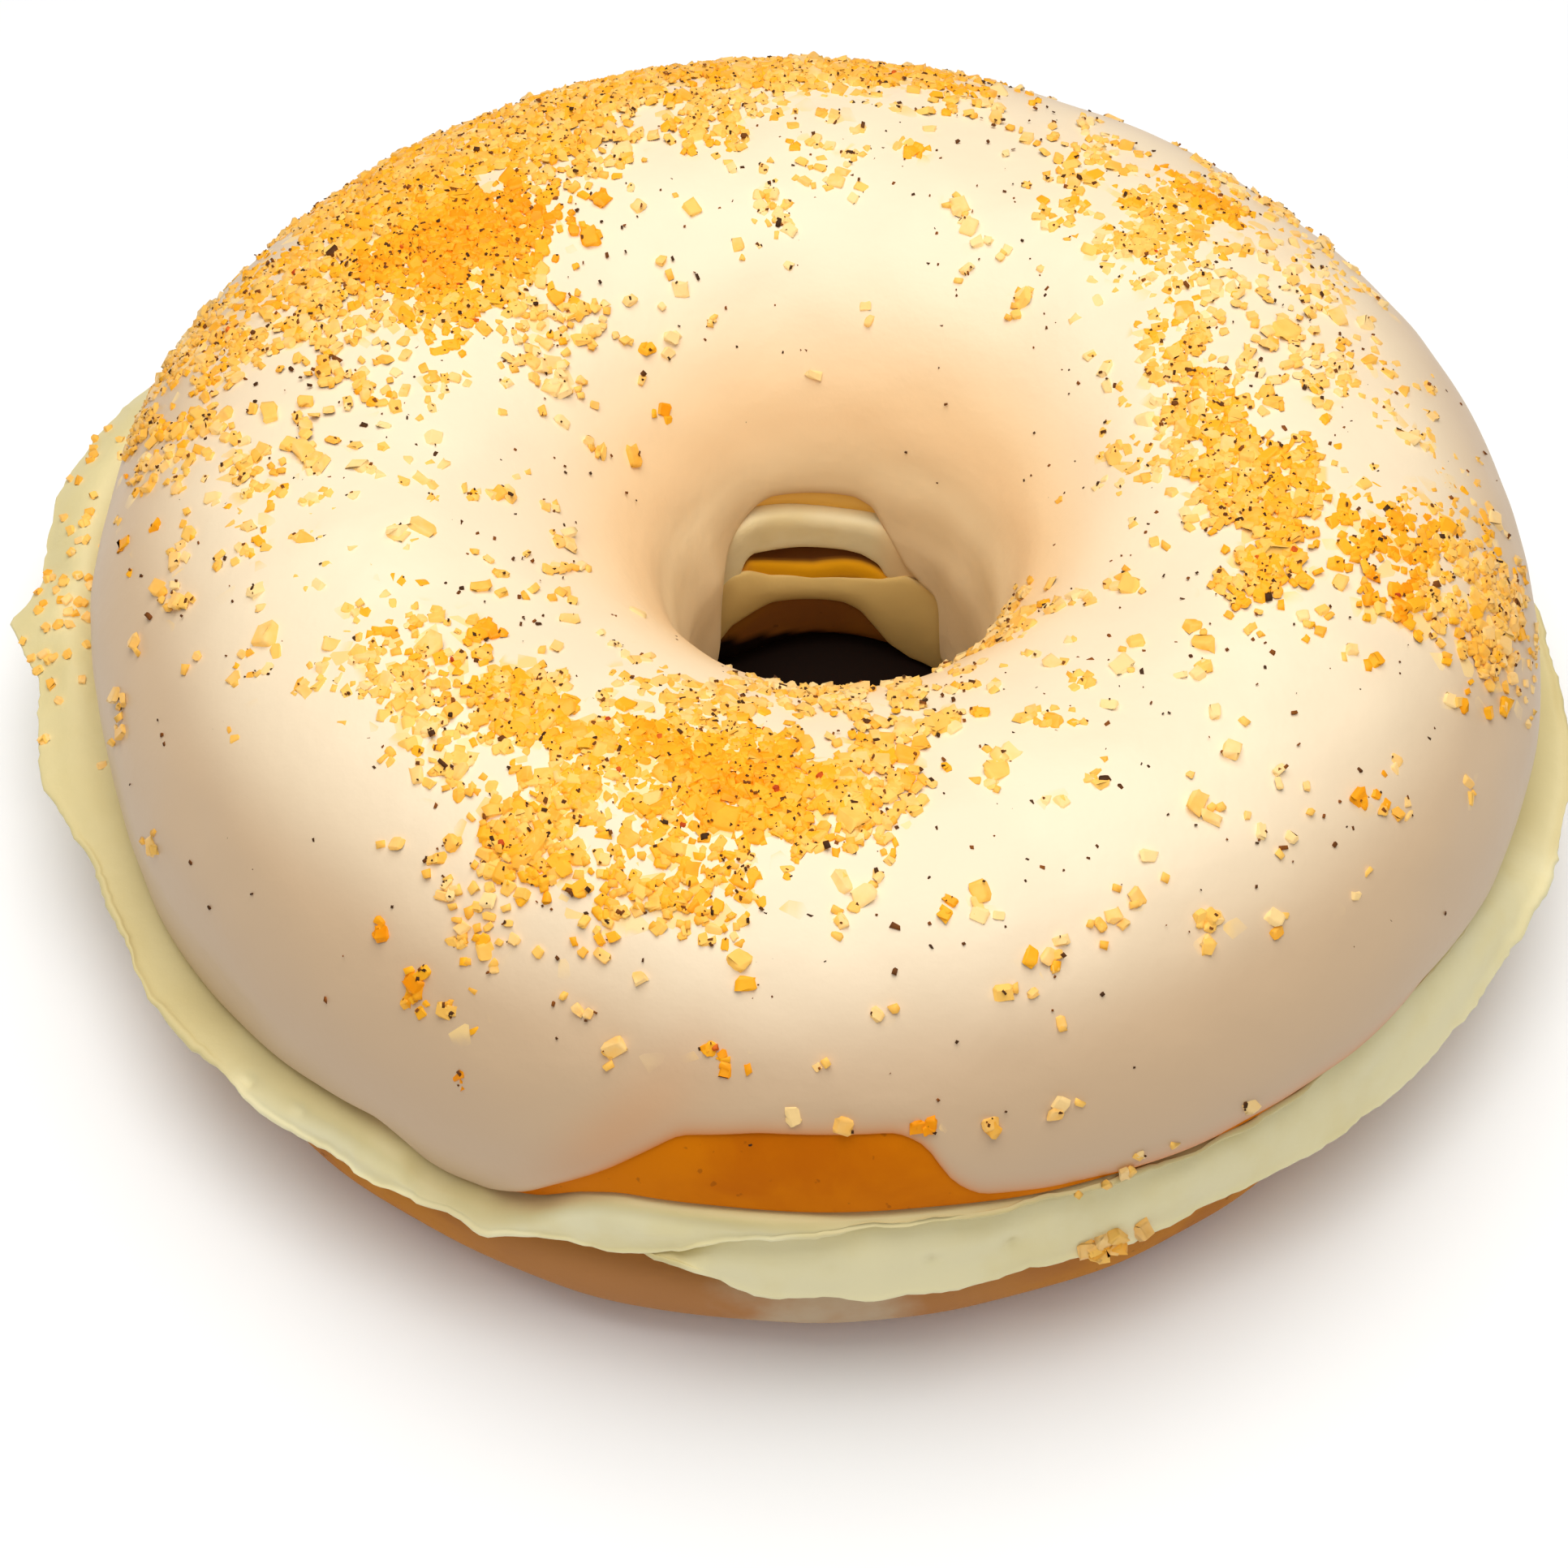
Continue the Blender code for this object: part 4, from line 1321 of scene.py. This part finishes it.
@dataclass
class SugarPlan:
    """Where every crystal lies: angle and lean, how amber it is, its layer in a pile, its size."""

    REACH: ClassVar[float] = 1.6
    phi: np.ndarray
    lean: np.ndarray
    amber: np.ndarray
    layer: np.ndarray
    size: np.ndarray

    @classmethod
    def draw(cls, seed: int = 5, strays: int = 260, crowding: float = 2.3) -> "SugarPlan":
        """Normal draws round each bed and clump, with gaps where a slow wave is low, and strays.

        A crystal's amber is mostly the mean of those about it, so that colour comes in patches.

        Args:
            seed: seed of the draw.
            strays: number of loose crystals.
            crowding: factor on every bed's count.

        Returns:
            The plan, angles in radians.
        """
        chance = np.random.default_rng(seed)
        rows = [(bed.phi, bed.lean, bed.along, bed.over, crowding * bed.count, bed.amber) for bed in BEDS]
        rows += [(phi, lean, 0.7, 1.3, 0.65 * count, amber) for phi, lean, count, amber in CLUMPS]
        table = np.array(rows, dtype=float)
        pick = np.repeat(np.arange(len(table)), np.ceil(table[:, 4]).astype(int))
        middle_phi, middle_lean, along, over, _, amber = table[pick].T
        phi = chance.normal(middle_phi, along)
        lean = chance.normal(middle_lean, over)
        phi = np.concatenate([phi, chance.uniform(-180.0, 180.0, strays)])
        lean = np.concatenate([lean, chance.normal(85.0, 26.0, strays)])
        amber = np.concatenate([amber, np.full(strays, 0.15)])
        off = np.append((lean[:pick.size] - middle_lean) / over, np.zeros(strays))
        amber = amber * (0.55 + 0.6 * np.exp(-0.5 * off**2)) + chance.normal(0.0, 0.14, phi.size)
        amber = np.clip(amber, 0.0, 1.0)
        keep = (lean > 5.0) & (lean < 160.0)
        turn = np.radians(phi)
        places = np.stack([28.0 * np.cos(turn), 28.0 * np.sin(turn), 0.29 * lean], axis=-1)
        gappy = np.append((over > 2.0).astype(float), np.zeros(strays))
        keep &= waves(places, 4.5, 61) > -2.0 + gappy * (2.1 - 1.5 * amber)
        layer = chance.random(phi.size)
        size = 1.2 - 0.2 * gappy
        plan = cls(np.radians(phi[keep]), np.radians(lean[keep]), amber[keep], layer[keep], size[keep])
        crowd = plan.crowd(plan.phi, plan.lean)
        mean = plan.density(plan.phi, plan.lean, plan.amber, cls.REACH) / np.maximum(crowd, 1e-6)
        own = 0.3 * plan.amber + chance.normal(0.0, 0.11, plan.amber.size)
        plan.amber = np.clip(0.7 * mean + own, 0.0, 1.0)
        return plan

    def crowd(self, phi: np.ndarray, lean: np.ndarray) -> np.ndarray:
        """Crystals for each square degree about a place."""
        return self.density(phi, lean, np.ones(self.phi.size), self.REACH)

    def density(self, phi: np.ndarray, lean: np.ndarray, weight: np.ndarray, reach: float) -> np.ndarray:
        """Weight about a place: a count on a grid of 1 degree, blurred by a bell of this reach.

        Args:
            phi: angles to look at, in radians.
            lean: leans to look at, in radians.
            weight: weight of each crystal.
            reach: half width of the bell, in degrees.

        Returns:
            Weighted crystals for each square degree.
        """
        count, _, _ = np.histogram2d(
            np.degrees(self.phi) % 360.0,
            np.degrees(self.lean),
            bins=(360, 240),
            range=((0, 360), (-30, 210)),
            weights=weight,
        )
        across = np.fft.fftfreq(360)[:, None]
        upward = np.fft.rfftfreq(240)[None, :]
        bell = np.exp(-2.0 * (math.pi * reach) ** 2 * (across**2 + upward**2))
        blurred = np.fft.irfft2(np.fft.rfft2(count) * bell, s=count.shape)
        at_phi = np.floor(np.degrees(phi) % 360.0).astype(int) % 360
        at_lean = np.clip(np.floor(np.degrees(lean) + 30.0).astype(int), 0, 239)
        return blurred[at_phi, at_lean]

    def stain(self, form: RingForm, grid: np.ndarray) -> tuple[np.ndarray, np.ndarray]:
        """How full of sunk grains and how amber the icing is at each grid point, both 0 to 1.

        Each is 1 - exp(-crystals about it / a usual crowd).

        Args:
            form: the iced ring.
            grid: points on it.

        Returns:
            The fill with grains, and the amber.
        """
        away = grid[..., :2] - np.array(form.centre) - np.array(form.hole_shift) * 0.5
        phi = np.arctan2(away[..., 1], away[..., 0])
        radius = np.hypot(away[..., 0], away[..., 1])
        up = (grid[..., 2] - form.girth_z) / form.upper_half
        lean = np.arctan2(up, (radius - form.crest_r) / form.outer_half)
        every = self.density(phi, lean, np.ones(self.amber.size), 2.0)
        hot = self.density(phi, lean, self.amber**2, 2.4)
        return 0.95 * (1.0 - np.exp(-every / 0.9)), 0.9 * (1.0 - np.exp(-hot / 0.55))


@dataclass(frozen=True)
class Block:
    """A small closed form of half side 1: points, a normal for each, corner indices and face sizes."""

    points: np.ndarray
    normals: np.ndarray
    loops: np.ndarray
    sides: np.ndarray

    @classmethod
    def of_faces(cls, points: np.ndarray, normals: np.ndarray, faces: list[list[int]]) -> "Block":
        """Turn every face outward, by the cross product of its first two sides, and pack them.

        Args:
            points: the form's points.
            normals: a unit normal for each point.
            faces: lists of point numbers, each in order round its face.

        Returns:
            The form.
        """
        outward = []
        for face in faces:
            a, b, c = points[face[0]], points[face[1]], points[face[2]]
            same = np.dot(np.cross(b - a, c - a), points[face].mean(axis=0)) > 0.0
            outward.append(face if same else face[::-1])
        return cls(points, normals, np.concatenate(outward), np.array([len(face) for face in outward]))

    @staticmethod
    def corners() -> np.ndarray:
        """The eight corners of a block."""
        return np.array([[x, y, z] for x in (-1, 1) for y in (-1, 1) for z in (-1, 1)], dtype=float)

    @classmethod
    def side_ring(cls, axis: int, side: int) -> list[int]:
        """The four corners on one side, in order round it.

        Args:
            axis: 0, 1 or 2.
            side: -1 or 1.

        Returns:
            Numbers of the corners.
        """
        corners = cls.corners()
        first, second = [other for other in range(3) if other != axis]
        ring = [corner for corner in range(8) if corners[corner, axis] == side]
        return sorted(ring, key=lambda corner: math.atan2(corners[corner, second], corners[corner, first]))

    @classmethod
    def plain(cls) -> "Block":
        """Eight corners and six sides; each normal points to its corner.

        Returns:
            The form.
        """
        points = cls.corners()
        faces = [cls.side_ring(axis, side) for axis in range(3) for side in (-1, 1)]
        return cls.of_faces(points, points / math.sqrt(3.0), faces)

    @classmethod
    def bevelled(cls, bevel: float) -> "Block":
        """Six squares on the sides, twelve strips along the edges, eight triangles at the corners.

        Every corner gives three points, each drawn in by the bevel along two axes.

        Args:
            bevel: width of the cut, as a share of the half side.

        Returns:
            The form.
        """
        corners = cls.corners()
        points = (corners[:, None, :] * (1.0 - bevel * (1.0 - np.eye(3)))).reshape(-1, 3)
        normals = (corners[:, None, :] * np.eye(3)).reshape(-1, 3)
        faces = [[3 * corner, 3 * corner + 1, 3 * corner + 2] for corner in range(8)]
        for axis in range(3):
            first, second = [other for other in range(3) if other != axis]
            faces += [[3 * corner + axis for corner in cls.side_ring(axis, side)] for side in (-1, 1)]
            for near in np.flatnonzero(corners[:, axis] < 0):
                far = near + (4, 2, 1)[axis]
                faces.append([3 * near + first, 3 * near + second, 3 * far + second, 3 * far + first])
        return cls.of_faces(points, normals, faces)


@dataclass(frozen=True)
class Grains:
    """A crowd of small blocks: places, axes, half sides, tones, and outward directions."""

    centres: np.ndarray
    axes: np.ndarray
    sizes: np.ndarray
    tone: np.ndarray
    outward: np.ndarray

    def columns(self) -> tuple[np.ndarray, ...]:
        """The five arrays, in order."""
        return self.centres, self.axes, self.sizes, self.tone, self.outward

    def part(self, pick: np.ndarray) -> "Grains":
        """Only the picked ones."""
        return Grains(*(column[pick] for column in self.columns()))

    def between(self, low: float, high: float) -> "Grains":
        """Those with a tone from low up to high, and the tone stretched to 0 to 1."""
        some = self.part((self.tone >= low) & (self.tone < high))
        return Grains(some.centres, some.axes, some.sizes, (some.tone - low) / (high - low), some.outward)

    @staticmethod
    def joined(crowds: list["Grains"]) -> "Grains":
        """Several crowds as one."""
        return Grains(*(np.concatenate(arrays) for arrays in zip(*(crowd.columns() for crowd in crowds))))

    def build(self, name: str, block: Block, jitter: float, clear: float, seed: int) -> bpy.types.Object:
        """Join the blocks into one mesh, each turned, sized and made a little uneven.

        Normals are (1 - clear) of the side's own and `clear` of the outward direction, which
        evens the shading out as light inside a clear body does; `tone` deepens from top to foot, a
        painted shade for light that passes through more sugar there.

        Args:
            name: the piece's name.
            block: form of each grain.
            jitter: random shift of each corner, as a share of the size.
            clear: share of the outward direction in the normals.
            seed: seed of the shifts.

        Returns:
            The joined piece, with `tone`.
        """
        count = len(self.centres)
        corners = len(block.points)
        chance = np.random.default_rng(seed)
        shifted = block.points[None] + jitter * chance.normal(size=(count, corners, 3))
        placed = np.einsum("nki,nij->nkj", shifted * self.sizes[:, None, :], self.axes)
        placed += self.centres[:, None, :]
        every = (block.loops[None, :] + corners * np.arange(count)[:, None]).ravel()
        piece = write_mesh(name, placed.reshape(-1, 3), every, np.tile(block.sides, count))
        # On sugar the foot comes out deeper than the top: painted shade for light that passes through more
        # sugar.
        up = np.einsum("nkj,nj->nk", placed - self.centres[:, None, :], self.outward)
        up = up / np.abs(up).max(axis=1, keepdims=True)
        set_attributes(piece, tone=self.tone[:, None] - 0.25 * up)
        leaning = block.normals[None] + 0.7 * jitter * chance.normal(size=(count, corners, 3))
        leaning = (1.0 - clear) * np.einsum("nki,nij->nkj", leaning, self.axes)
        leaning = (leaning + clear * self.outward[:, None, :]).reshape(-1, 3)
        leaning /= np.linalg.norm(leaning, axis=1, keepdims=True)
        piece.data.normals_split_custom_set_from_vertices(leaning)
        return piece


def turned(frames: np.ndarray, tilt: float, chance: np.random.Generator) -> np.ndarray:
    """Local axes spun about the outward one and tipped by about `tilt` radians.

    The spin and the two tips are plane rotations, multiplied for all places at once.

    Args:
        frames: (n, 3, 3) local axes.
        tilt: usual tip, in radians.
        chance: the draw.

    Returns:
        The turned axes, of the same shape.
    """
    count = len(frames)
    spin = chance.uniform(0.0, 2.0 * math.pi, count)
    tips = chance.normal(0.0, tilt, (2, count))
    turn = np.tile(np.eye(3), (count, 1, 1))
    for angle, (a, b) in ((spin, (0, 1)), (tips[0], (1, 2)), (tips[1], (0, 2))):
        step = np.tile(np.eye(3), (count, 1, 1))
        step[:, a, a] = np.cos(angle)
        step[:, b, b] = np.cos(angle)
        step[:, a, b] = np.sin(angle)
        step[:, b, a] = -np.sin(angle)
        turn = step @ turn
    return turn @ frames


@dataclass
class Sugar:
    """Raw sugar crystals on icing and cream, in three kinds, each kind one joined mesh."""

    SEED: ClassVar[int] = 17
    FINE_SEED: ClassVar[int] = 18
    form: RingForm
    plan: SugarPlan
    cream: Cream
    half_side: float = 0.28
    bead_half_side: float = 0.26
    lip_half_side: float = 0.50
    fine_half_side: float = 0.19
    bead_grains: int = 75
    lip_grains: int = 12
    fine_grains: int = 3600
    full_crowd: float = 2.0

    def on_icing(self, chance: np.random.Generator) -> Grains:
        """Crystals half sunk in the icing, piled where they are dense.

        Args:
            chance: the draw.

        Returns:
            The crystals, with their amber as tone.
        """
        plan = self.plan
        count = plan.phi.size
        crowd = plan.crowd(plan.phi, plan.lean)
        frames = self.form.frames(plan.phi, plan.lean)
        sizes = self.half_side * (plan.size * chance.lognormal(0.0, 0.24, count))[:, None]
        sizes = sizes * chance.uniform((0.9, 0.7, 0.45), (1.45, 1.1, 0.8), (count, 3))
        pile = np.clip(crowd / self.full_crowd, 0.0, 1.0) * plan.layer
        lift = 0.45 * pile - 0.05 * sizes[:, 2]
        centres = self.form.surface(plan.phi, plan.lean) + frames[:, 2] * lift[:, None]
        return Grains(centres, turned(frames, 0.3, chance), sizes, plan.amber, frames[:, 2])

    def fine(self, chance: np.random.Generator) -> Grains:
        """Small grains between the crystals, as amber as they are.

        Args:
            chance: the draw.

        Returns:
            The grains, with their amber as tone.
        """
        plan = self.plan
        pick = chance.integers(0, plan.phi.size, self.fine_grains)
        phi = plan.phi[pick] + chance.normal(0.0, 0.022, pick.size)
        lean = plan.lean[pick] + chance.normal(0.0, 0.035, pick.size)
        frames = self.form.frames(phi, lean)
        crowd = plan.crowd(phi, lean)
        sizes = self.fine_half_side * chance.uniform((0.8, 0.7, 0.6), (1.6, 1.2, 1.0), (pick.size, 3))
        lift = 0.55 * np.clip(crowd / self.full_crowd, 0.0, 1.0) * chance.random(pick.size)
        centres = self.form.surface(phi, lean) + frames[:, 2] * lift[:, None]
        return Grains(centres, turned(frames, 0.5, chance), sizes, plan.amber[pick], frames[:, 2])

    def on_cream(
        self,
        grid: np.ndarray,
        phi: np.ndarray,
        columns: np.ndarray,
        half_side: float,
        chance: np.random.Generator,
    ) -> Grains:
        """Crystals on a spread of cream.

        Args:
            grid: the spread's ring grid.
            phi: angle of each crystal, in degrees.
            columns: point of the section for each crystal.
            half_side: half of a usual crystal's side.
            chance: the draw.

        Returns:
            The crystals, with their amber as tone.
        """
        stations = grid.shape[0]
        rows = np.round((phi + 180.0) / 360.0 * stations).astype(int) % stations
        centres, frames = perches(grid, rows, columns)
        sizes = half_side * chance.uniform((0.9, 0.75, 0.6), (1.4, 1.1, 0.9), (phi.size, 3))
        centres = centres + 0.3 * frames[:, 2] * sizes[:, 2:]
        amber = chance.uniform(0.15, 0.55, phi.size)
        return Grains(centres, turned(frames, 0.4, chance), sizes, amber, frames[:, 2])

    def build(self) -> list[bpy.types.Object]:
        """One piece for each kind, split by how amber the crystals are, and two of fine grains.

        Returns:
            The dressed pieces.
        """
        chance = np.random.default_rng(self.SEED)
        on_icing = self.on_icing(chance)
        bead_phi = chance.normal(175.0, 6.5, self.bead_grains)
        lip_phi = chance.normal(-70.0, 1.2, self.lip_grains)
        bead_columns = chance.integers(54, 71, self.bead_grains)
        lip_columns = chance.integers(18, 28, self.lip_grains)
        every = Grains.joined([
            on_icing,
            self.on_cream(self.cream.upper_grid(), bead_phi, bead_columns, self.bead_half_side, chance),
            self.on_cream(self.cream.lower_grid(), lip_phi, lip_columns, self.lip_half_side, chance),
        ])
        fine = self.fine(np.random.default_rng(self.FINE_SEED))
        pieces = []
        for kind, low, high in (
            (SugarKind.PALE, 0.0, 0.3),
            (SugarKind.HONEY, 0.3, 0.55),
            (SugarKind.AMBER, 0.55, 1.01),
        ):
            name = "sugar_" + kind.name.lower()
            pieces.append(every.between(low, high).build(name, Block.bevelled(0.3), 0.16, 0.62, 19))
            pieces[-1].data.materials.append(SugarFinish(kind).material())
        for kind, low, high in ((SugarKind.HONEY, 0.0, 0.5), (SugarKind.AMBER, 0.5, 1.01)):
            name = "sugar_fine_" + kind.name.lower()
            pieces.append(fine.between(low, high).build(name, Block.plain(), 0.2, 0.5, 20))
            pieces[-1].data.materials.append(SugarFinish(kind).material())
        return pieces


@dataclass
class Spice:
    """Ground spice: dark specks in and around the beds, and a few red crumbs."""

    form: RingForm
    sugar: Sugar
    near_sugar: int = 3900
    loose: int = 900
    red: int = 30
    speck_size: float = 0.058
    crumb_size: float = 0.15

    def on_crystals(self, pick: np.ndarray, spread: float, chance: np.random.Generator) -> np.ndarray:
        """Places on the top sides of crystals on the icing.

        Args:
            pick: numbers of the crystals.
            spread: how far from each one's middle, as a share of its half sides.
            chance: the draw.

        Returns:
            Array (picked, 3) of points.
        """
        crystals = self.sugar.on_icing(np.random.default_rng(Sugar.SEED)).part(pick)
        offset = np.ones((pick.size, 3))
        offset[:, :2] = chance.uniform(-spread, spread, (pick.size, 2))
        return crystals.centres + np.einsum("ni,nij->nj", offset * crystals.sizes, crystals.axes)

    def specks(self) -> bpy.types.Object:
        """Dark specks of 0.1 to 0.3 mm, most of them on crystals, the others on the bare icing.

        Returns:
            The dressed piece.
        """
        chance = np.random.default_rng(23)
        plan = self.sugar.plan
        pick = chance.integers(0, plan.phi.size, self.near_sugar)
        on_sugar = self.on_crystals(pick, 1.1, chance)
        phi = chance.uniform(-math.pi, math.pi, self.loose)
        lean = np.radians(chance.normal(85.0, 28.0, self.loose))
        frames = self.form.frames(np.append(plan.phi[pick], phi), np.append(plan.lean[pick], lean))
        on_coat = self.form.surface(phi, lean) + 0.02 * frames[-self.loose:, 2]
        centres = np.concatenate([on_sugar, on_coat])
        size = self.speck_size * chance.lognormal(0.0, 0.33, len(centres))
        sizes = size[:, None] * chance.uniform((0.8, 0.7, 0.5), (2.0, 1.2, 0.9), (size.size, 3))
        tone = chance.random(size.size) ** 1.3
        grains = Grains(centres, turned(frames, 0.3, chance), sizes, tone, frames[:, 2])
        piece = grains.build("cinnamon_specks", Block.plain(), 0.2, 0.3, 29)
        finish = SpeckFinish("cinnamon_specks", (0.055, 0.020, 0.004), (0.30, 0.085, 0.008))
        piece.data.materials.append(finish.material())
        return piece

    def crumbs(self) -> bpy.types.Object:
        """Red-brown crumbs of about a third of a millimetre on some crystals.

        Returns:
            The dressed piece.
        """
        chance = np.random.default_rng(31)
        plan = self.sugar.plan
        pick = chance.choice(np.flatnonzero(plan.amber > 0.45), self.red, replace=False)
        centres = self.on_crystals(pick, 0.5, chance)
        frames = self.form.frames(plan.phi[pick], plan.lean[pick])
        sizes = self.crumb_size * chance.uniform((0.8, 0.7, 0.6), (1.6, 1.2, 1.0), (pick.size, 3))
        grains = Grains(centres, turned(frames, 0.6, chance), sizes, chance.random(pick.size), frames[:, 2])
        piece = grains.build("red_crumbs", Block.bevelled(0.4), 0.14, 0.2, 37)
        finish = SpeckFinish("red_crumbs", (0.50, 0.055, 0.008), (0.80, 0.17, 0.01))
        piece.data.materials.append(finish.material())
        return piece


@dataclass(frozen=True)
class PhotoCamera:
    """The camera, in millimetres, as fitted to the object's outlines."""

    place: tuple[float, float, float] = (-0.51, -120.06, 148.05)
    aim: tuple[float, float, float] = (-0.51, -4.39, 0.0)
    lens: float = 63.354

    def build(self) -> None:
        """Create the camera and make it the scene's."""
        data = bpy.data.cameras.new("photo_camera")
        data.lens = self.lens
        data.sensor_width = 36.0
        data.clip_start = 0.005
        camera = bpy.data.objects.new("photo_camera", data)
        camera.location = Vector(self.place) * MM
        camera.rotation_euler = (Vector(self.aim) - Vector(self.place)).to_track_quat("-Z", "Y").to_euler()
        bpy.context.scene.collection.objects.link(camera)
        bpy.context.scene.camera = camera


@dataclass(frozen=True)
class Studio:
    """Plain pale floor, a wide soft light overhead and a faint even sky."""

    floor_half: float = 900.0
    floor_z: float = -0.02
    pale: Colour = (0.95, 0.96, 0.98)
    deep_shade: Colour = (0.012, 0.006, 0.004)
    shade_from: float = 0.018
    shade_to: float = 0.034
    sky: float = 0.12
    sky_tint: tuple[float, ...] = (1.0, 0.99, 0.97, 1.0)
    lamp_tint: Colour = (1.0, 0.985, 0.955)
    overhead_watts: float = 2.0
    front_watts: float = 0.42

    def floor(self) -> None:
        """A flat sheet, dark only right under the ring, where it would lie in deep shade."""
        corners = np.array([(-1.0, -1.0), (1.0, -1.0), (1.0, 1.0), (-1.0, 1.0)])
        points = np.column_stack([self.floor_half * corners, np.full(4, self.floor_z)])
        piece = write_mesh("floor", points, np.arange(4), np.array([4]))
        board = NodeBoard("floor")
        spread = board.stretch(board.distance(), self.shade_from, self.shade_to)
        board.feed("Base Color", board.blend(spread, self.deep_shade, self.pale))
        board.set(Roughness=0.9, Specular_IOR_Level=0.1)
        piece.data.materials.append(board.material)

    def light(self, name: str, place: tuple[float, float, float], size: float, watts: float) -> None:
        """A square soft light that looks at the doughnut.

        Args:
            name: the light's name.
            place: where it is, in millimetres.
            size: its side, in millimetres.
            watts: its power.
        """
        data = bpy.data.lights.new(name, "AREA")
        data.shape = "SQUARE"
        data.size = size * MM
        data.energy = watts
        data.color = self.lamp_tint
        lamp = bpy.data.objects.new(name, data)
        lamp.location = Vector(place) * MM
        lamp.rotation_euler = (Vector((0.0, 0.0, 10.0)) - Vector(place)).to_track_quat("-Z", "Y").to_euler()
        bpy.context.scene.collection.objects.link(lamp)

    def build(self) -> None:
        """Floor, sky and lights."""
        self.floor()
        world = bpy.data.worlds.new("sky")
        world.use_nodes = True
        background = world.node_tree.nodes["Background"]
        background.inputs["Color"].default_value = self.sky_tint
        background.inputs["Strength"].default_value = self.sky
        bpy.context.scene.world = world
        self.light("overhead", (0.0, 55.0, 420.0), 420.0, self.overhead_watts)
        self.light("front", (5.0, -250.0, 340.0), 300.0, self.front_watts)
        bpy.context.scene.view_settings.view_transform = "Standard"


def attach(piece: bpy.types.Object, slot: str, *nodes: str) -> None:
    """Ride the piece on the doughnut's body, and hide the solids that it stands for.

    Args:
        piece: the object.
        slot: name of its material slot; not used.
        nodes: solids that it replaces.
    """
    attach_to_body(piece, BODY)
    if nodes:
        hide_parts(*nodes)
    LOG.info("%s: %d faces", piece.name, len(piece.data.polygons))


def main() -> None:
    """Build every piece in order."""
    logging.basicConfig(level=logging.INFO, format="%(name)s %(message)s")
    form = RingForm()
    edges = Edges()
    plan = SugarPlan.draw()
    attach(IcingCoat(form, edges).build(plan), "icing", "icing")
    attach(TopDough(form, edges).build(), "top_dough", "top_bun")
    cream = Cream(form, edges)
    attach(cream.dress("cream_layer", cream.upper_grid()), "cream", "cream_filling")
    attach(cream.dress("cream_smear", cream.lower_grid()), "cream")
    lower_half = BottomDough()
    attach(lower_half.build(), "bottom_dough", "bottom_bun")
    attach(HoleGlaze(lower_half).build(), "icing")
    sugar = Sugar(form, plan, cream)
    for piece in sugar.build():
        attach(piece, "icing")
    spice = Spice(form, sugar)
    attach(spice.specks(), "icing")
    attach(spice.crumbs(), "icing")
    PhotoCamera().build()
    Studio().build()


if __name__ == "__main__":
    main()
